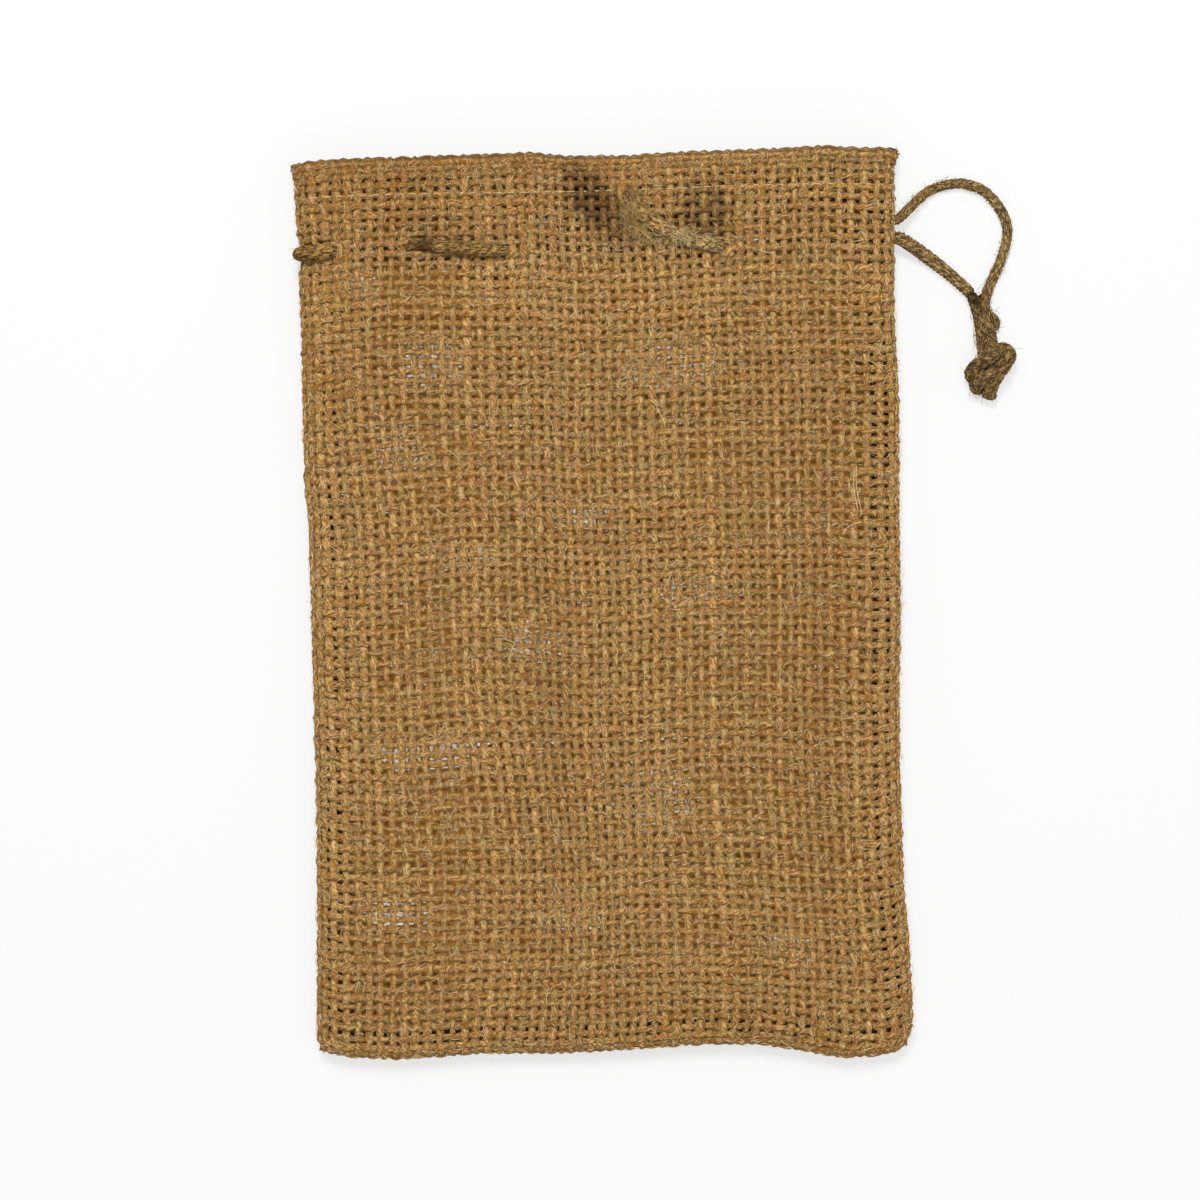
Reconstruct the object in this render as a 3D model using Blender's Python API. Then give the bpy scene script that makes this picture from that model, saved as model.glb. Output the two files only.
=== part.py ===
"""A small burlap sack with a drawstring, empty, lying on its back on a surface.

Two cloths are sewn together round both sides and the bottom, with a hem turned in at the mouth. A
twisted jute cord runs through both cloths below the hem, goes round the left edge, leaves at the
right edge as a loop and ends in one overhand knot. The origin is under the middle of the sack, on
the surface; X runs to the right, Y up to the mouth and Z up. The tables are in millimetres.
"""

import math

import bmesh
import bpy
from mathutils import Vector

MM = 0.001

# the cloth and its seams
CLOTH = 1.1
HEM_DEPTH = 5.6
HEM_STEP = 0.4
SEAM_GAP = 0.3

# heights above the surface, of the outer faces
SEAM_LEVEL = 3.9
BODY_HEIGHT = 7.8
MOUTH_HEIGHT = 9.3
MOUTH_RISE_FROM = 34.0
MOUTH_RISE_TO = 58.0

# how far in from an edge each cloth is round
FRONT_ROUND = 6.0
BACK_ROUND = 5.0
RIM_SHARES = (0.0, 0.05, 0.22, 0.55, 1.0)

# the distance between a cloth's points, across and along
FRONT_PITCH = (4.6, 5.2)
BACK_PITCH = (7.5, 12.0)
CORD_ZONE = (-5.4, -3.6, -1.8, 0.0, 1.8, 3.6, 5.4)
ZONE_MARGIN = 1.5
SAME_LINE = 0.45

# the drawstring
CORD_DIAMETER = 2.0
CORD_PLIES = 3
CORD_LAY = 4.4
CORD_RELIEF = 0.13
STEPS_PER_LAY = 8
CORD_CLEARANCE = 0.35
CORD_LINE = 60.6
STITCH_DIP = 0.9
STITCH_HALF_WIDTH = 4.5
TUNNEL_HEIGHT = 2.45
WAY_STEP = 1.6
KNOT_STEP = 0.8
SPLITS = 24

# the edges of the sack from corner to corner: x, y
LEFT_EDGE = [
    (-47.7, -76.2), (-48.5, -73.9), (-48.5, -50.0), (-48.7, -26.5), (-49.3, -9.5), (-49.8, 11.7),
    (-50.9, 28.0), (-51.1, 45.0), (-51.8, 60.0), (-52.1, 66.0), (-52.2, 70.9), (-52.9, 73.8),
    (-52.9, 74.6),
]
RIGHT_EDGE = [
    (51.9, -75.3), (53.1, -72.6), (53.2, -69.5), (52.6, -58.0), (51.7, -48.0), (51.0, -28.0),
    (50.9, -14.0), (51.2, 0.0), (50.9, 15.0), (50.8, 36.0), (50.0, 50.0), (50.1, 70.0), (49.9, 74.6),
    (50.6, 76.0), (50.6, 77.3),
]
BOTTOM_EDGE = [
    (-47.7, -76.2), (-43.5, -77.2), (-35.0, -77.6), (-27.0, -77.1), (-21.0, -76.6), (-6.0, -76.5),
    (6.0, -75.8), (18.0, -75.0), (27.0, -75.0), (36.0, -76.3), (41.5, -77.3), (47.0, -77.0),
    (50.2, -76.4), (51.9, -75.3),
]
TOP_EDGE = [
    (-52.9, 74.6), (-50.0, 74.9), (-42.0, 75.4), (-22.0, 76.0), (-12.0, 76.4), (-6.0, 75.8),
    (4.0, 75.9), (14.0, 76.5), (30.0, 77.1), (38.5, 77.6), (44.0, 77.2), (50.6, 77.3),
]

# the soft waves of the front cloth: middle x and y, half length across, half length along, rise
FRONT_WAVES = [
    (11.7, 36.4, 15.0, 6.0, 0.6),
    (1.5, 15.1, 17.0, 6.0, 0.5),
    (-24.0, 16.0, 14.0, 6.0, 0.35),
    (16.8, -36.7, 19.0, 7.0, 0.55),
    (-30.8, -22.3, 15.0, 6.0, 0.4),
    (-30.8, -55.4, 15.0, 6.0, 0.4),
    (-29.0, 46.6, 9.0, 8.0, 0.5),
    (-8.7, -21.0, 6.0, 18.0, -0.4),
    (38.0, -10.0, 6.0, 45.0, -0.35),
    (-9.5, 28.0, 10.0, 7.0, -0.3),
]

# where the drawstring shows: the ends of each stitch across, and its middle along
STITCHES = [
    (-52.0, -47.5, 59.3),
    (-31.5, -17.0, 60.2),
    (4.0, 21.0, 63.0),
]
BACK_STITCHES = [
    (-52.0, -44.5, CORD_LINE),
    (-31.8, -17.2, CORD_LINE),
    (4.0, 21.0, CORD_LINE),
]

# the drawstring's route from the knot and back to it: x, y, z
CORD_ROUTE = [
    # the lower end, from the knot to the right edge
    (63.1, 53.2, 1.05), (61.9, 54.3, 1.05), (59.3, 56.6, 1.05), (56.4, 58.8, 1.25), (54.4, 60.2, 2.0),
    (52.4, 61.4, 3.0), (50.3, 62.3, 3.9),
    # inside, behind the front cloth
    (45.5, 62.4, 5.4), (36.0, 61.3, 6.5), (26.5, 60.7, 6.7),
    # the stitch on the right, from low to high under the hem
    (22.0, 60.0, 8.1), (17.4, 60.7, 9.7), (13.6, 61.9, 9.75), (9.4, 64.0, 9.8), (6.2, 66.6, 9.75),
    (4.2, 69.6, 8.5),
    # inside again
    (1.4, 70.6, 6.4), (-3.6, 66.4, 5.9), (-9.0, 61.6, 6.4), (-13.0, 59.9, 6.8),
    # the stitch on the left
    (-16.8, 59.5, 8.3), (-21.3, 59.8, 9.75), (-27.3, 60.4, 9.75), (-31.7, 60.8, 8.3),
    # inside again
    (-36.0, 60.7, 6.6), (-41.4, 59.8, 6.3),
    # out, round the left edge and under the back cloth
    (-45.6, 59.5, 8.5), (-48.6, 59.2, 8.9), (-50.9, 59.2, 7.0), (-51.2, 59.4, 4.4), (-50.2, 59.9, 2.0),
    (-47.4, 60.4, 1.1), (-44.2, 60.5, 1.4),
    # inside, above the back cloth, and two stitches under it
    (-39.8, 60.6, 2.7), (-36.0, 60.6, 2.7), (-31.8, 60.6, 1.3), (-28.0, 60.6, 1.05),
    (-21.0, 60.6, 1.05), (-17.2, 60.6, 1.3), (-13.0, 60.6, 2.7), (-6.5, 60.6, 2.7), (0.0, 60.6, 2.7),
    (4.2, 60.6, 1.3), (8.0, 60.6, 1.05), (17.0, 60.6, 1.05), (20.8, 60.6, 1.3), (25.0, 60.7, 2.7),
    # inside to the right edge
    (34.0, 62.0, 2.7), (43.0, 64.0, 2.8), (47.5, 64.8, 3.5), (50.3, 65.4, 3.9),
    # the upper end, out as a loop and down to the knot
    (52.4, 67.3, 3.0), (54.3, 69.2, 1.7), (56.6, 70.9, 1.05), (60.7, 71.9, 1.05), (64.8, 71.0, 1.05),
    (67.6, 68.4, 1.05), (69.2, 65.5, 1.05), (69.4, 62.6, 1.05), (68.4, 58.9, 1.05), (66.9, 55.4, 1.1),
    (65.9, 53.2, 1.3),
]

# the knot and the two strands that run into it: radius, then x, y, z along each tube
KNOT_TUBES = [
    (1.00, [(63.35, 52.75, 1.05), (64.1, 50.6, 1.1), (64.7, 47.8, 1.3), (65.0, 44.6, 1.8),
            (65.2, 41.6, 2.4)]),
    (1.00, [(65.75, 52.75, 1.35), (65.5, 50.9, 2.1), (66.0, 48.6, 1.8), (66.7, 45.6, 1.8),
            (66.6, 42.0, 2.4)]),
    (0.75, [(66.3, 49.6, 1.1), (67.2, 48.9, 1.2), (67.6, 47.9, 1.2), (67.3, 47.2, 1.2)]),
    (1.35, [(66.4, 43.2, 1.6), (68.6, 43.4, 1.9), (69.5, 42.4, 3.3), (68.5, 40.6, 4.3),
            (67.2, 38.6, 3.9), (66.4, 36.8, 2.8), (66.3, 35.5, 2.0)]),
    (1.30, [(68.4, 42.9, 3.6), (66.4, 42.1, 4.9), (64.4, 40.9, 4.5), (63.1, 39.4, 3.0),
            (64.0, 38.2, 1.6)]),
    (1.25, [(66.6, 39.4, 3.6), (64.8, 38.4, 4.1), (63.8, 37.2, 3.0), (64.8, 36.9, 1.6),
            (66.2, 38.2, 1.5)]),
    (1.05, [(64.6, 52.2, 1.5), (64.8, 50.2, 1.8), (65.4, 47.6, 1.9), (65.8, 44.8, 2.1),
            (65.9, 42.0, 2.8)]),
    (1.35, [(67.2, 42.8, 2.6), (66.9, 41.2, 3.1), (66.3, 39.8, 3.1), (65.6, 38.4, 2.6)]),
]
KNOT_GRAIN = 0.62

BURLAP_COLOUR = (0.30, 0.18, 0.062, 1.0)
CORD_COLOUR = (0.22, 0.15, 0.07, 1.0)
BURLAP_ROUGHNESS = 0.95
CORD_ROUGHNESS = 0.9


def clear_scene():
    for old in list(bpy.data.objects):
        bpy.data.objects.remove(old, do_unlink=True)


def make_material(name, colour, roughness):
    material = bpy.data.materials.new(name)
    material.use_nodes = True
    shader = material.node_tree.nodes["Principled BSDF"]
    shader.inputs["Base Color"].default_value = colour
    shader.inputs["Roughness"].default_value = roughness
    shader.inputs["Metallic"].default_value = 0.0
    material.diffuse_color = colour
    return material


def add_object(name, data, material):
    made = bpy.data.objects.new(name, data)
    bpy.context.scene.collection.objects.link(made)
    data.materials.append(material)
    return made


def along(table, key, value, at):
    """Read one column of an edge's table at a place along the other column."""
    if at <= table[0][key]:
        return table[0][value]
    for low, high in zip(table, table[1:]):
        if at <= high[key]:
            share = (at - low[key]) / (high[key] - low[key])
            return low[value] + (high[value] - low[value]) * share
    return table[-1][value]


def edge_reader(table, key, value):
    """The edge as a function of the share of the way from its first corner to its last."""
    first, last = table[0][key], table[-1][key]
    return lambda share: along(table, key, value, first + (last - first) * share)


left_x = edge_reader(LEFT_EDGE, 1, 0)
right_x = edge_reader(RIGHT_EDGE, 1, 0)
bottom_y = edge_reader(BOTTOM_EDGE, 0, 1)
top_y = edge_reader(TOP_EDGE, 0, 1)


def smooth_step(low, high, at):
    share = min(max((at - low) / (high - low), 0.0), 1.0)
    return share * share * (3.0 - 2.0 * share)


def bump(distance):
    """1 in the middle, 0 from a distance of 1, smooth between."""
    return 0.5 + 0.5 * math.cos(math.pi * min(abs(distance), 1.0))


def round_in(distance, reach):
    """A quarter of an ellipse: 0 at the edge, 1 from reach inwards."""
    share = 1.0 - min(max(distance / reach, 0.0), 1.0)
    return math.sqrt(1.0 - share * share)


def stitch_share(x, y, stitches):
    """How far a place lies under a stitch of the drawstring, from 0 to 1."""
    share = 0.0
    for start, end, middle in stitches:
        outside = max(start - x, x - end, 0.0)
        share = max(share, bump(outside / STITCH_HALF_WIDTH) * bump((y - middle) / STITCH_HALF_WIDTH))
    return share


def edge_share(across, along_it, x, y, reach):
    """The rounding of a cloth towards its two sides and the bottom."""
    left = round_in(x - left_x(along_it), reach)
    right = round_in(right_x(along_it) - x, reach)
    bottom = round_in(y - bottom_y(across), reach)
    return left * right * bottom


def front_heights(share, x, y, thickness):
    """The front cloth's outer and inner face, from its seam up to its crown."""
    crown = BODY_HEIGHT + (MOUTH_HEIGHT - BODY_HEIGHT) * smooth_step(MOUTH_RISE_FROM, MOUTH_RISE_TO, y)
    for middle_x, middle_y, reach_x, reach_y, rise in FRONT_WAVES:
        crown += rise * bump((x - middle_x) / reach_x) * bump((y - middle_y) / reach_y)
    crown -= STITCH_DIP * stitch_share(x, y, STITCHES)
    seam = SEAM_LEVEL + SEAM_GAP / 2
    return seam + (crown - seam) * share, seam + (crown - thickness - seam) * share


def back_heights(share, x, y, thickness):
    """The back cloth's outer and inner face: flat but for its rim and over the drawstring."""
    seam = SEAM_LEVEL - SEAM_GAP / 2
    rim = seam * (1.0 - share)
    tunnel = TUNNEL_HEIGHT * stitch_share(x, y, BACK_STITCHES)
    if tunnel > rim:
        return tunnel, max(tunnel + thickness * share, rim + thickness * share)
    return rim, rim + thickness * share


def grid_lines(length, rim, pitch, extra=()):
    """Places from 0 to length: close together in both rims, then evenly, then some by hand."""
    step_count = max(round((length - 2 * rim[-1]) / pitch), 1)
    step = (length - 2 * rim[-1]) / step_count
    lines = list(rim) + [length - place for place in rim]
    lines += [rim[-1] + step * number for number in range(1, step_count)]
    for place in extra:
        lines = [line for line in lines if abs(line - place) > SAME_LINE * pitch or line in (0.0, length)]
        lines.append(place)
    return sorted(set(lines))


def cloth_mesh(name, across_lines, along_lines, reach, heights):
    """One cloth as a closed sheet: an outer and an inner grid, joined round their edges."""
    hem_from = 1.0 - (HEM_DEPTH + HEM_STEP / 2) / (TOP_EDGE[0][1] - BOTTOM_EDGE[0][1])
    cloth = bmesh.new()
    for face, inset in enumerate((0.0, CLOTH)):
        layer = bmesh.ops.create_grid(
            cloth, x_segments=len(across_lines) - 1, y_segments=len(along_lines) - 1, size=1.0
        )["verts"]
        order = sorted(layer, key=lambda vert: (round(vert.co.y, 5), round(vert.co.x, 5)))
        for number, vert in enumerate(order):
            across = across_lines[number % len(across_lines)]
            along_it = along_lines[number // len(across_lines)]
            x = left_x(along_it) + (right_x(along_it) - left_x(along_it)) * across
            y = bottom_y(across) + (top_y(across) - bottom_y(across)) * along_it
            share = edge_share(across, along_it, x, y, reach)
            z = heights(share, x, y, 2 * CLOTH if along_it > hem_from else CLOTH)[face]
            inner_x = x + inset * (1.0 - 2.0 * across)
            inner_y = y + inset * (1.0 - along_it)
            vert.co = Vector((inner_x, inner_y, z)) * MM
    edges = [edge for edge in cloth.edges if edge.is_boundary]
    bmesh.ops.bridge_loops(cloth, edges=edges)
    bmesh.ops.recalc_face_normals(cloth, faces=cloth.faces)
    mesh = bpy.data.meshes.new(name)
    cloth.to_mesh(mesh)
    cloth.free()
    mesh.shade_smooth()
    mesh.set_sharp_from_angle(angle=math.radians(50.0))
    return mesh


def add_cutter(name, mesh):
    cutter = bpy.data.objects.new(name, mesh)
    bpy.context.scene.collection.objects.link(cutter)
    cutter.hide_render = True
    cutter.display_type = "WIRE"
    return cutter


def build_cloth(name, material, pitches, reach, heights, stitches, cutter):
    """A sheet doubled in its hem, with a way cut through it for the drawstring."""
    width = RIGHT_EDGE[0][0] - LEFT_EDGE[0][0]
    length = TOP_EDGE[0][1] - BOTTOM_EDGE[0][1]
    rim = [share * reach for share in RIM_SHARES]
    stitch_lines = []
    for start, end, _ in stitches:
        places = start - LEFT_EDGE[0][0], end - LEFT_EDGE[0][0]
        stitch_lines += [place for place in places if place > reach]
    across_lines = [place / width for place in grid_lines(width, rim, pitches[0], stitch_lines)]

    cord_zone = [CORD_LINE - BOTTOM_EDGE[0][1] + step for step in CORD_ZONE]
    hem_zone = [length - HEM_DEPTH - HEM_STEP, length - HEM_DEPTH, length - HEM_DEPTH / 2]
    places = grid_lines(length, rim, pitches[1])
    places = [place for place in places if place < cord_zone[0] - ZONE_MARGIN]
    along_lines = [place / length for place in places + cord_zone + hem_zone + [length]]

    mesh = cloth_mesh(name, across_lines, along_lines, reach, heights)
    cloth = add_object(name, mesh, material)
    cut = cloth.modifiers.new("way for the drawstring", "BOOLEAN")
    cut.operation = "DIFFERENCE"
    cut.solver = "EXACT"
    cut.object = cutter
    return cloth


def smooth_route(points, step):
    """Places an even step apart on a Catmull-Rom curve through the points, all in millimetres."""
    ends = [2 * Vector(points[0]) - Vector(points[1])], [2 * Vector(points[-1]) - Vector(points[-2])]
    knots = ends[0] + [Vector(point) for point in points] + ends[1]
    fine = []
    for a, b, c, d in zip(knots, knots[1:], knots[2:], knots[3:]):
        for number in range(SPLITS):
            t = number / SPLITS
            fine.append(
                0.5 * ((2 * b) + (c - a) * t + (2 * a - 5 * b + 4 * c - d) * t**2
                       + (3 * b - a - 3 * c + d) * t**3)
            )
    fine.append(knots[-2])
    lengths = [0.0]
    for here, there in zip(fine, fine[1:]):
        lengths.append(lengths[-1] + (there - here).length)
    count = max(round(lengths[-1] / step), 1)
    route, reached = [], 0
    for number in range(count + 1):
        target = lengths[-1] * number / count
        while reached < len(fine) - 2 and lengths[reached + 1] < target:
            reached += 1
        share = (target - lengths[reached]) / (lengths[reached + 1] - lengths[reached])
        route.append(fine[reached].lerp(fine[reached + 1], min(share, 1.0)))
    return route, lengths[-1]


def tube_curve(name, routes):
    """A curve object's data with one round tube for each (radius, places) in millimetres."""
    curve = bpy.data.curves.new(name, "CURVE")
    curve.dimensions = "3D"
    curve.bevel_depth = MM
    curve.bevel_resolution = 2
    curve.use_fill_caps = True
    for radius, places in routes:
        spline = curve.splines.new("POLY")
        spline.points.add(len(places) - 1)
        for point, place in zip(spline.points, places):
            point.co = (*(place * MM), 1.0)
            point.radius = radius
    return curve


def as_mesh(curve, name):
    """The tubes of a curve as one mesh."""
    holder = bpy.data.objects.new(name, curve)
    bpy.context.scene.collection.objects.link(holder)
    bpy.context.view_layer.update()
    mesh = bpy.data.meshes.new_from_object(holder.evaluated_get(bpy.context.evaluated_depsgraph_get()))
    bpy.data.objects.remove(holder, do_unlink=True)
    return mesh


def build_cutter():
    """The way that the drawstring takes, a little fatter than the cord, to cut out of the cloths."""
    places, _ = smooth_route(CORD_ROUTE, WAY_STEP)
    fat = CORD_DIAMETER / 2 + CORD_CLEARANCE
    mesh = as_mesh(tube_curve("cord way", [(fat, places)]), "cord way")
    return add_cutter("cord way", mesh)


def build_profile():
    """The cord's section: three plies as three low lobes."""
    curve = bpy.data.curves.new("cord section", "CURVE")
    curve.dimensions = "2D"
    spline = curve.splines.new("POLY")
    count = 2 * CORD_PLIES
    spline.points.add(count - 1)
    for number, point in enumerate(spline.points):
        radius = CORD_DIAMETER / 2 - (CORD_RELIEF if number % 2 else 0.0)
        angle = -math.tau * number / count
        point.co = (radius * math.cos(angle) * MM, radius * math.sin(angle) * MM, 0.0, 1.0)
    spline.use_cyclic_u = True
    profile = bpy.data.objects.new("cord section", curve)
    bpy.context.scene.collection.objects.link(profile)
    profile.hide_render = True
    profile.display_type = "WIRE"
    return profile


def build_drawstring(material, profile):
    """The whole cord as one twisted tube along its route."""
    places, length = smooth_route(CORD_ROUTE, CORD_LAY / STEPS_PER_LAY)
    curve = tube_curve("drawstring", [(1.0, places)])
    curve.bevel_mode = "OBJECT"
    curve.bevel_object = profile
    for number, point in enumerate(curve.splines[0].points):
        point.tilt = math.tau * length * number / ((len(places) - 1) * CORD_LAY)
    return add_object("drawstring", curve, material)


def build_knot(material):
    """The overhand knot, the neck of two strands above it and its short tails, grown together."""
    tubes = [(radius, smooth_route(points, KNOT_STEP)[0]) for radius, points in KNOT_TUBES]
    mesh = as_mesh(tube_curve("drawstring_knot", tubes), "drawstring_knot")
    knot = add_object("drawstring_knot", mesh, material)
    fuse = knot.modifiers.new("fused strands", "REMESH")
    fuse.mode = "VOXEL"
    fuse.voxel_size = KNOT_GRAIN * MM
    fuse.use_smooth_shade = True
    return knot


def main():
    clear_scene()
    burlap = make_material("burlap", BURLAP_COLOUR, BURLAP_ROUGHNESS)
    jute = make_material("jute cord", CORD_COLOUR, CORD_ROUGHNESS)
    cutter = build_cutter()
    build_cloth("sack_front", burlap, FRONT_PITCH, FRONT_ROUND, front_heights, STITCHES, cutter)
    build_cloth("sack_back", burlap, BACK_PITCH, BACK_ROUND, back_heights, BACK_STITCHES, cutter)
    build_drawstring(jute, build_profile())
    build_knot(jute)


main()
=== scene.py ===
"""The looks of a small burlap sack with a drawstring, woven yarn by yarn on its two cloths.

Each cloth is a flat cut, woven of warp yarns along the sack and weft yarns across it. The cut is laid
over the sack's form: round at both sides and the bottom, turned in at its seams, and folded inwards
at the mouth as a hem. The hem's thread, the twisted drawstring with its knot and the loose fibres lie
on it. The tables are in millimetres and all else is in metres.
"""

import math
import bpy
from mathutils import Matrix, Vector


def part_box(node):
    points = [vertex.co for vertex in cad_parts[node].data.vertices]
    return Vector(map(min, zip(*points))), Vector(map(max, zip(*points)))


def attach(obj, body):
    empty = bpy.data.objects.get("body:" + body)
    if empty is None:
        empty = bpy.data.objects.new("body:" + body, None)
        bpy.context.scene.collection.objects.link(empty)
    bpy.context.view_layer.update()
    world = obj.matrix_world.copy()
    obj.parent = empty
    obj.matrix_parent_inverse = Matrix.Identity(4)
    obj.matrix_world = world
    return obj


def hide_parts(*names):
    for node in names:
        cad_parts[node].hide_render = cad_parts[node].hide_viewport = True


bl_info = {
    "name": "Burlap Drawstring Sack",
    "version": (1, 0, 0),
    "blender": (4, 5, 0),
    "location": "3D View > Sidebar > Sack",
    "description": "Weaves a small burlap sack with its hem thread, drawstring, knot and loose fibres",
    "category": "Add Mesh",
}

import bmesh
import bpy
import numpy as np
from mathutils import Matrix, Vector

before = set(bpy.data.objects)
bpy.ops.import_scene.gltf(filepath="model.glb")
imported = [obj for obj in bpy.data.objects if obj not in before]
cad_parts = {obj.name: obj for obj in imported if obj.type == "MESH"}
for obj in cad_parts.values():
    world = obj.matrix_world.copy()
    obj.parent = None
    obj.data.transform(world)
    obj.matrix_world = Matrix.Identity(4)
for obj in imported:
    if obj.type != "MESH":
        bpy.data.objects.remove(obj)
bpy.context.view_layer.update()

MM = 0.001
LANE_MAP = "OFBake"

# ---------------------------------------------------------------- the sack's form, from the frame
FRONT_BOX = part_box("sack_front")
BACK_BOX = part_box("sack_back")
SEAM_LEVEL = (FRONT_BOX[0].z + BACK_BOX[1].z) / 2
SEAM_GAP = FRONT_BOX[0].z - BACK_BOX[1].z
MOUTH_HEIGHT = FRONT_BOX[1].z
# the body's height, and where along the sack it rises to the mouth's
BODY_HEIGHT = MOUTH_HEIGHT - 1.5 * MM
MOUTH_RISE = (34.0 * MM, 58.0 * MM)
# how far in from its edges the sack is round
ROUND_REACH = 6.0 * MM
# at the drawstring's stitches: the front cloth's dip, the height of the back cloth's lower face, and
# how far round a stitch they reach
CLOTH_DIP = 0.9 * MM
TUNNEL_HEIGHT = 2.45 * MM
STITCH_REACH = 4.5 * MM
# how far the back cloth is lifted, how far a seam allowance turns in, the gap above the surface, and
# how near points have to be to be welded into one
BACK_LIFT = 0.08 * MM
SEAM_TUCK = 0.45 * MM
FLOOR_GAP = 0.02 * MM
WELD_GAP = 0.001 * MM

# the edges of the sack from corner to corner: x, y
LEFT_EDGE = [
    (-47.7, -76.2), (-48.5, -73.9), (-48.5, -50.0), (-48.7, -26.5), (-49.3, -9.5), (-49.8, 11.7),
    (-50.9, 28.0), (-51.1, 45.0), (-51.8, 60.0), (-52.1, 66.0), (-52.2, 70.9), (-52.9, 73.8),
    (-52.9, 74.6),
]
RIGHT_EDGE = [
    (51.9, -75.3), (53.1, -72.6), (53.2, -69.5), (52.6, -58.0), (51.7, -48.0), (51.0, -28.0),
    (50.9, -14.0), (51.2, 0.0), (50.9, 15.0), (50.8, 36.0), (50.0, 50.0), (50.1, 70.0), (49.9, 74.6),
    (50.6, 76.0), (50.6, 77.3),
]
BOTTOM_EDGE = [
    (-47.7, -76.2), (-43.5, -77.2), (-35.0, -77.6), (-27.0, -77.1), (-21.0, -76.6), (-6.0, -76.5),
    (6.0, -75.8), (18.0, -75.0), (27.0, -75.0), (36.0, -76.3), (41.5, -77.3), (47.0, -77.0),
    (50.2, -76.4), (51.9, -75.3),
]
TOP_EDGE = [
    (-52.9, 74.6), (-50.0, 74.9), (-42.0, 75.4), (-22.0, 76.0), (-12.0, 76.4), (-6.0, 75.8),
    (4.0, 75.9), (14.0, 76.5), (30.0, 77.1), (38.5, 77.6), (44.0, 77.2), (50.6, 77.3),
]

# the soft waves of the front cloth: middle x and y, half length across, half length along, rise
FRONT_WAVES = [
    (11.7, 36.4, 15.0, 6.0, 0.6),
    (1.5, 15.1, 17.0, 6.0, 0.5),
    (-24.0, 16.0, 14.0, 6.0, 0.35),
    (16.8, -36.7, 19.0, 7.0, 0.55),
    (-30.8, -22.3, 15.0, 6.0, 0.4),
    (-30.8, -55.4, 15.0, 6.0, 0.4),
    (-29.0, 46.6, 9.0, 8.0, 0.5),
    (-8.7, -21.0, 6.0, 18.0, -0.4),
    (38.0, -10.0, 6.0, 45.0, -0.35),
    (-9.5, 28.0, 10.0, 7.0, -0.3),
]

# the drawstring's stitches: the ends of each across, and its middle along
FRONT_STITCHES = [(-52.0, -47.5, 59.3), (-31.5, -17.0, 60.2), (4.0, 21.0, 63.0)]
BACK_STITCHES = [(-52.0, -44.5, 60.6), (-31.8, -17.2, 60.6), (4.0, 21.0, 60.6)]

# where the cloth is pinched in by the drawstring round its left edge: y, half length, depth
EDGE_PINCH = (59.4, 4.0, 0.8)

# where the back cloth's hem looks out above the front's: middle x, half length, height; and the
# share of the sack's length above which it does
BACK_PEEKS = [(-38.0, 8.0, 0.5), (-14.5, 6.0, 0.5), (30.0, 10.0, 0.35)]
PEEK_RANGE = (0.9, 1.0)

# the two cloths: name, the way the outer face looks, seed of the yarns; and the other seeds
CLOTHS = (("front", 1, 11), ("back", -1, 23))
PLACING_SEED, SEWING_SEED, RAISING_SEED = 5, 17, 31

# ---------------------------------------------------------------- the weave
# the distance from one warp yarn to the next: x, pitch
WARP_PITCHES = [
    (-56.0, 1.9), (-46.0, 1.95), (-26.0, 2.02), (-14.0, 1.9), (-7.0, 1.62), (2.0, 1.85), (12.0, 2.02),
    (30.0, 1.93), (36.0, 1.85), (44.0, 2.05), (56.0, 2.0),
]
# the distance from one weft yarn to the next: y, pitch
WEFT_PITCHES = [
    (-86.0, 1.62), (-52.0, 1.66), (-30.0, 1.74), (40.0, 1.74), (60.0, 1.7), (73.0, 1.66), (75.0, 1.02),
    (81.5, 1.02), (83.0, 1.66),
]

# the kinds of loose fibres: number on the front cloth, reach, lift, curl, stray from the yarns,
# height above the middle of the cloth, inset from the seams, pieces, in the sheer places only
FIBRE_KINDS = [
    (14500, 2.4, 0.16, 0.5, 0.25, 0.68, 0.5, 2, False),
    (7500, 1.8, 0.14, 0.8, 1.0, 0.45, 0.5, 2, False),
    (3200, 3.2, 0.2, 1.2, 0.7, 0.64, 0.5, 3, False),
    (350, 5.5, 0.4, 1.6, 1.2, 0.5, 9.0, 4, False),
    (3300, 2.0, 0.1, 0.8, 1.6, 0.2, 9.0, 2, True),
]
# how far the fibres lean from the yarns, anticlockwise
FIBRE_LEAN = 0.35

# how the yarns drift on the cloth: middle x and y, half length across and along, shift across and up
WEAVE_DRIFTS = [
    (-34.0, 44.0, 20.0, 34.0, -1.6, 0.9),
    (-22.0, 4.0, 26.0, 44.0, -0.5, 0.8),
    (-18.0, -44.0, 30.0, 34.0, 2.2, -0.6),
    (6.0, 52.0, 22.0, 20.0, 0.8, -0.5),
    (24.0, -52.0, 24.0, 26.0, 0.9, -1.3),
    (40.0, 10.0, 14.0, 50.0, -0.5, 0.7),
    (-4.0, -6.0, 14.0, 20.0, 0.5, -0.6),
]

# where the yarns lie thinner and more open: x, y, half width, half height, narrower by
OPEN_PLACES = [
    (36.0, 0.0, 14.0, 110.0, 0.06),
    (-36.0, -60.0, 18.0, 18.0, 0.06),
]
# where they lie fuller, at the hem and beside the seams: x, y, half width, half height, wider by
FULL_PLACES = [
    (0.0, 72.0, 140.0, 20.0, 0.1),
    (48.0, 0.0, 10.0, 150.0, 0.2),
    (-47.0, 0.0, 10.0, 150.0, 0.22),
    (0.0, -76.0, 140.0, 9.0, 0.12),
]
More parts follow.
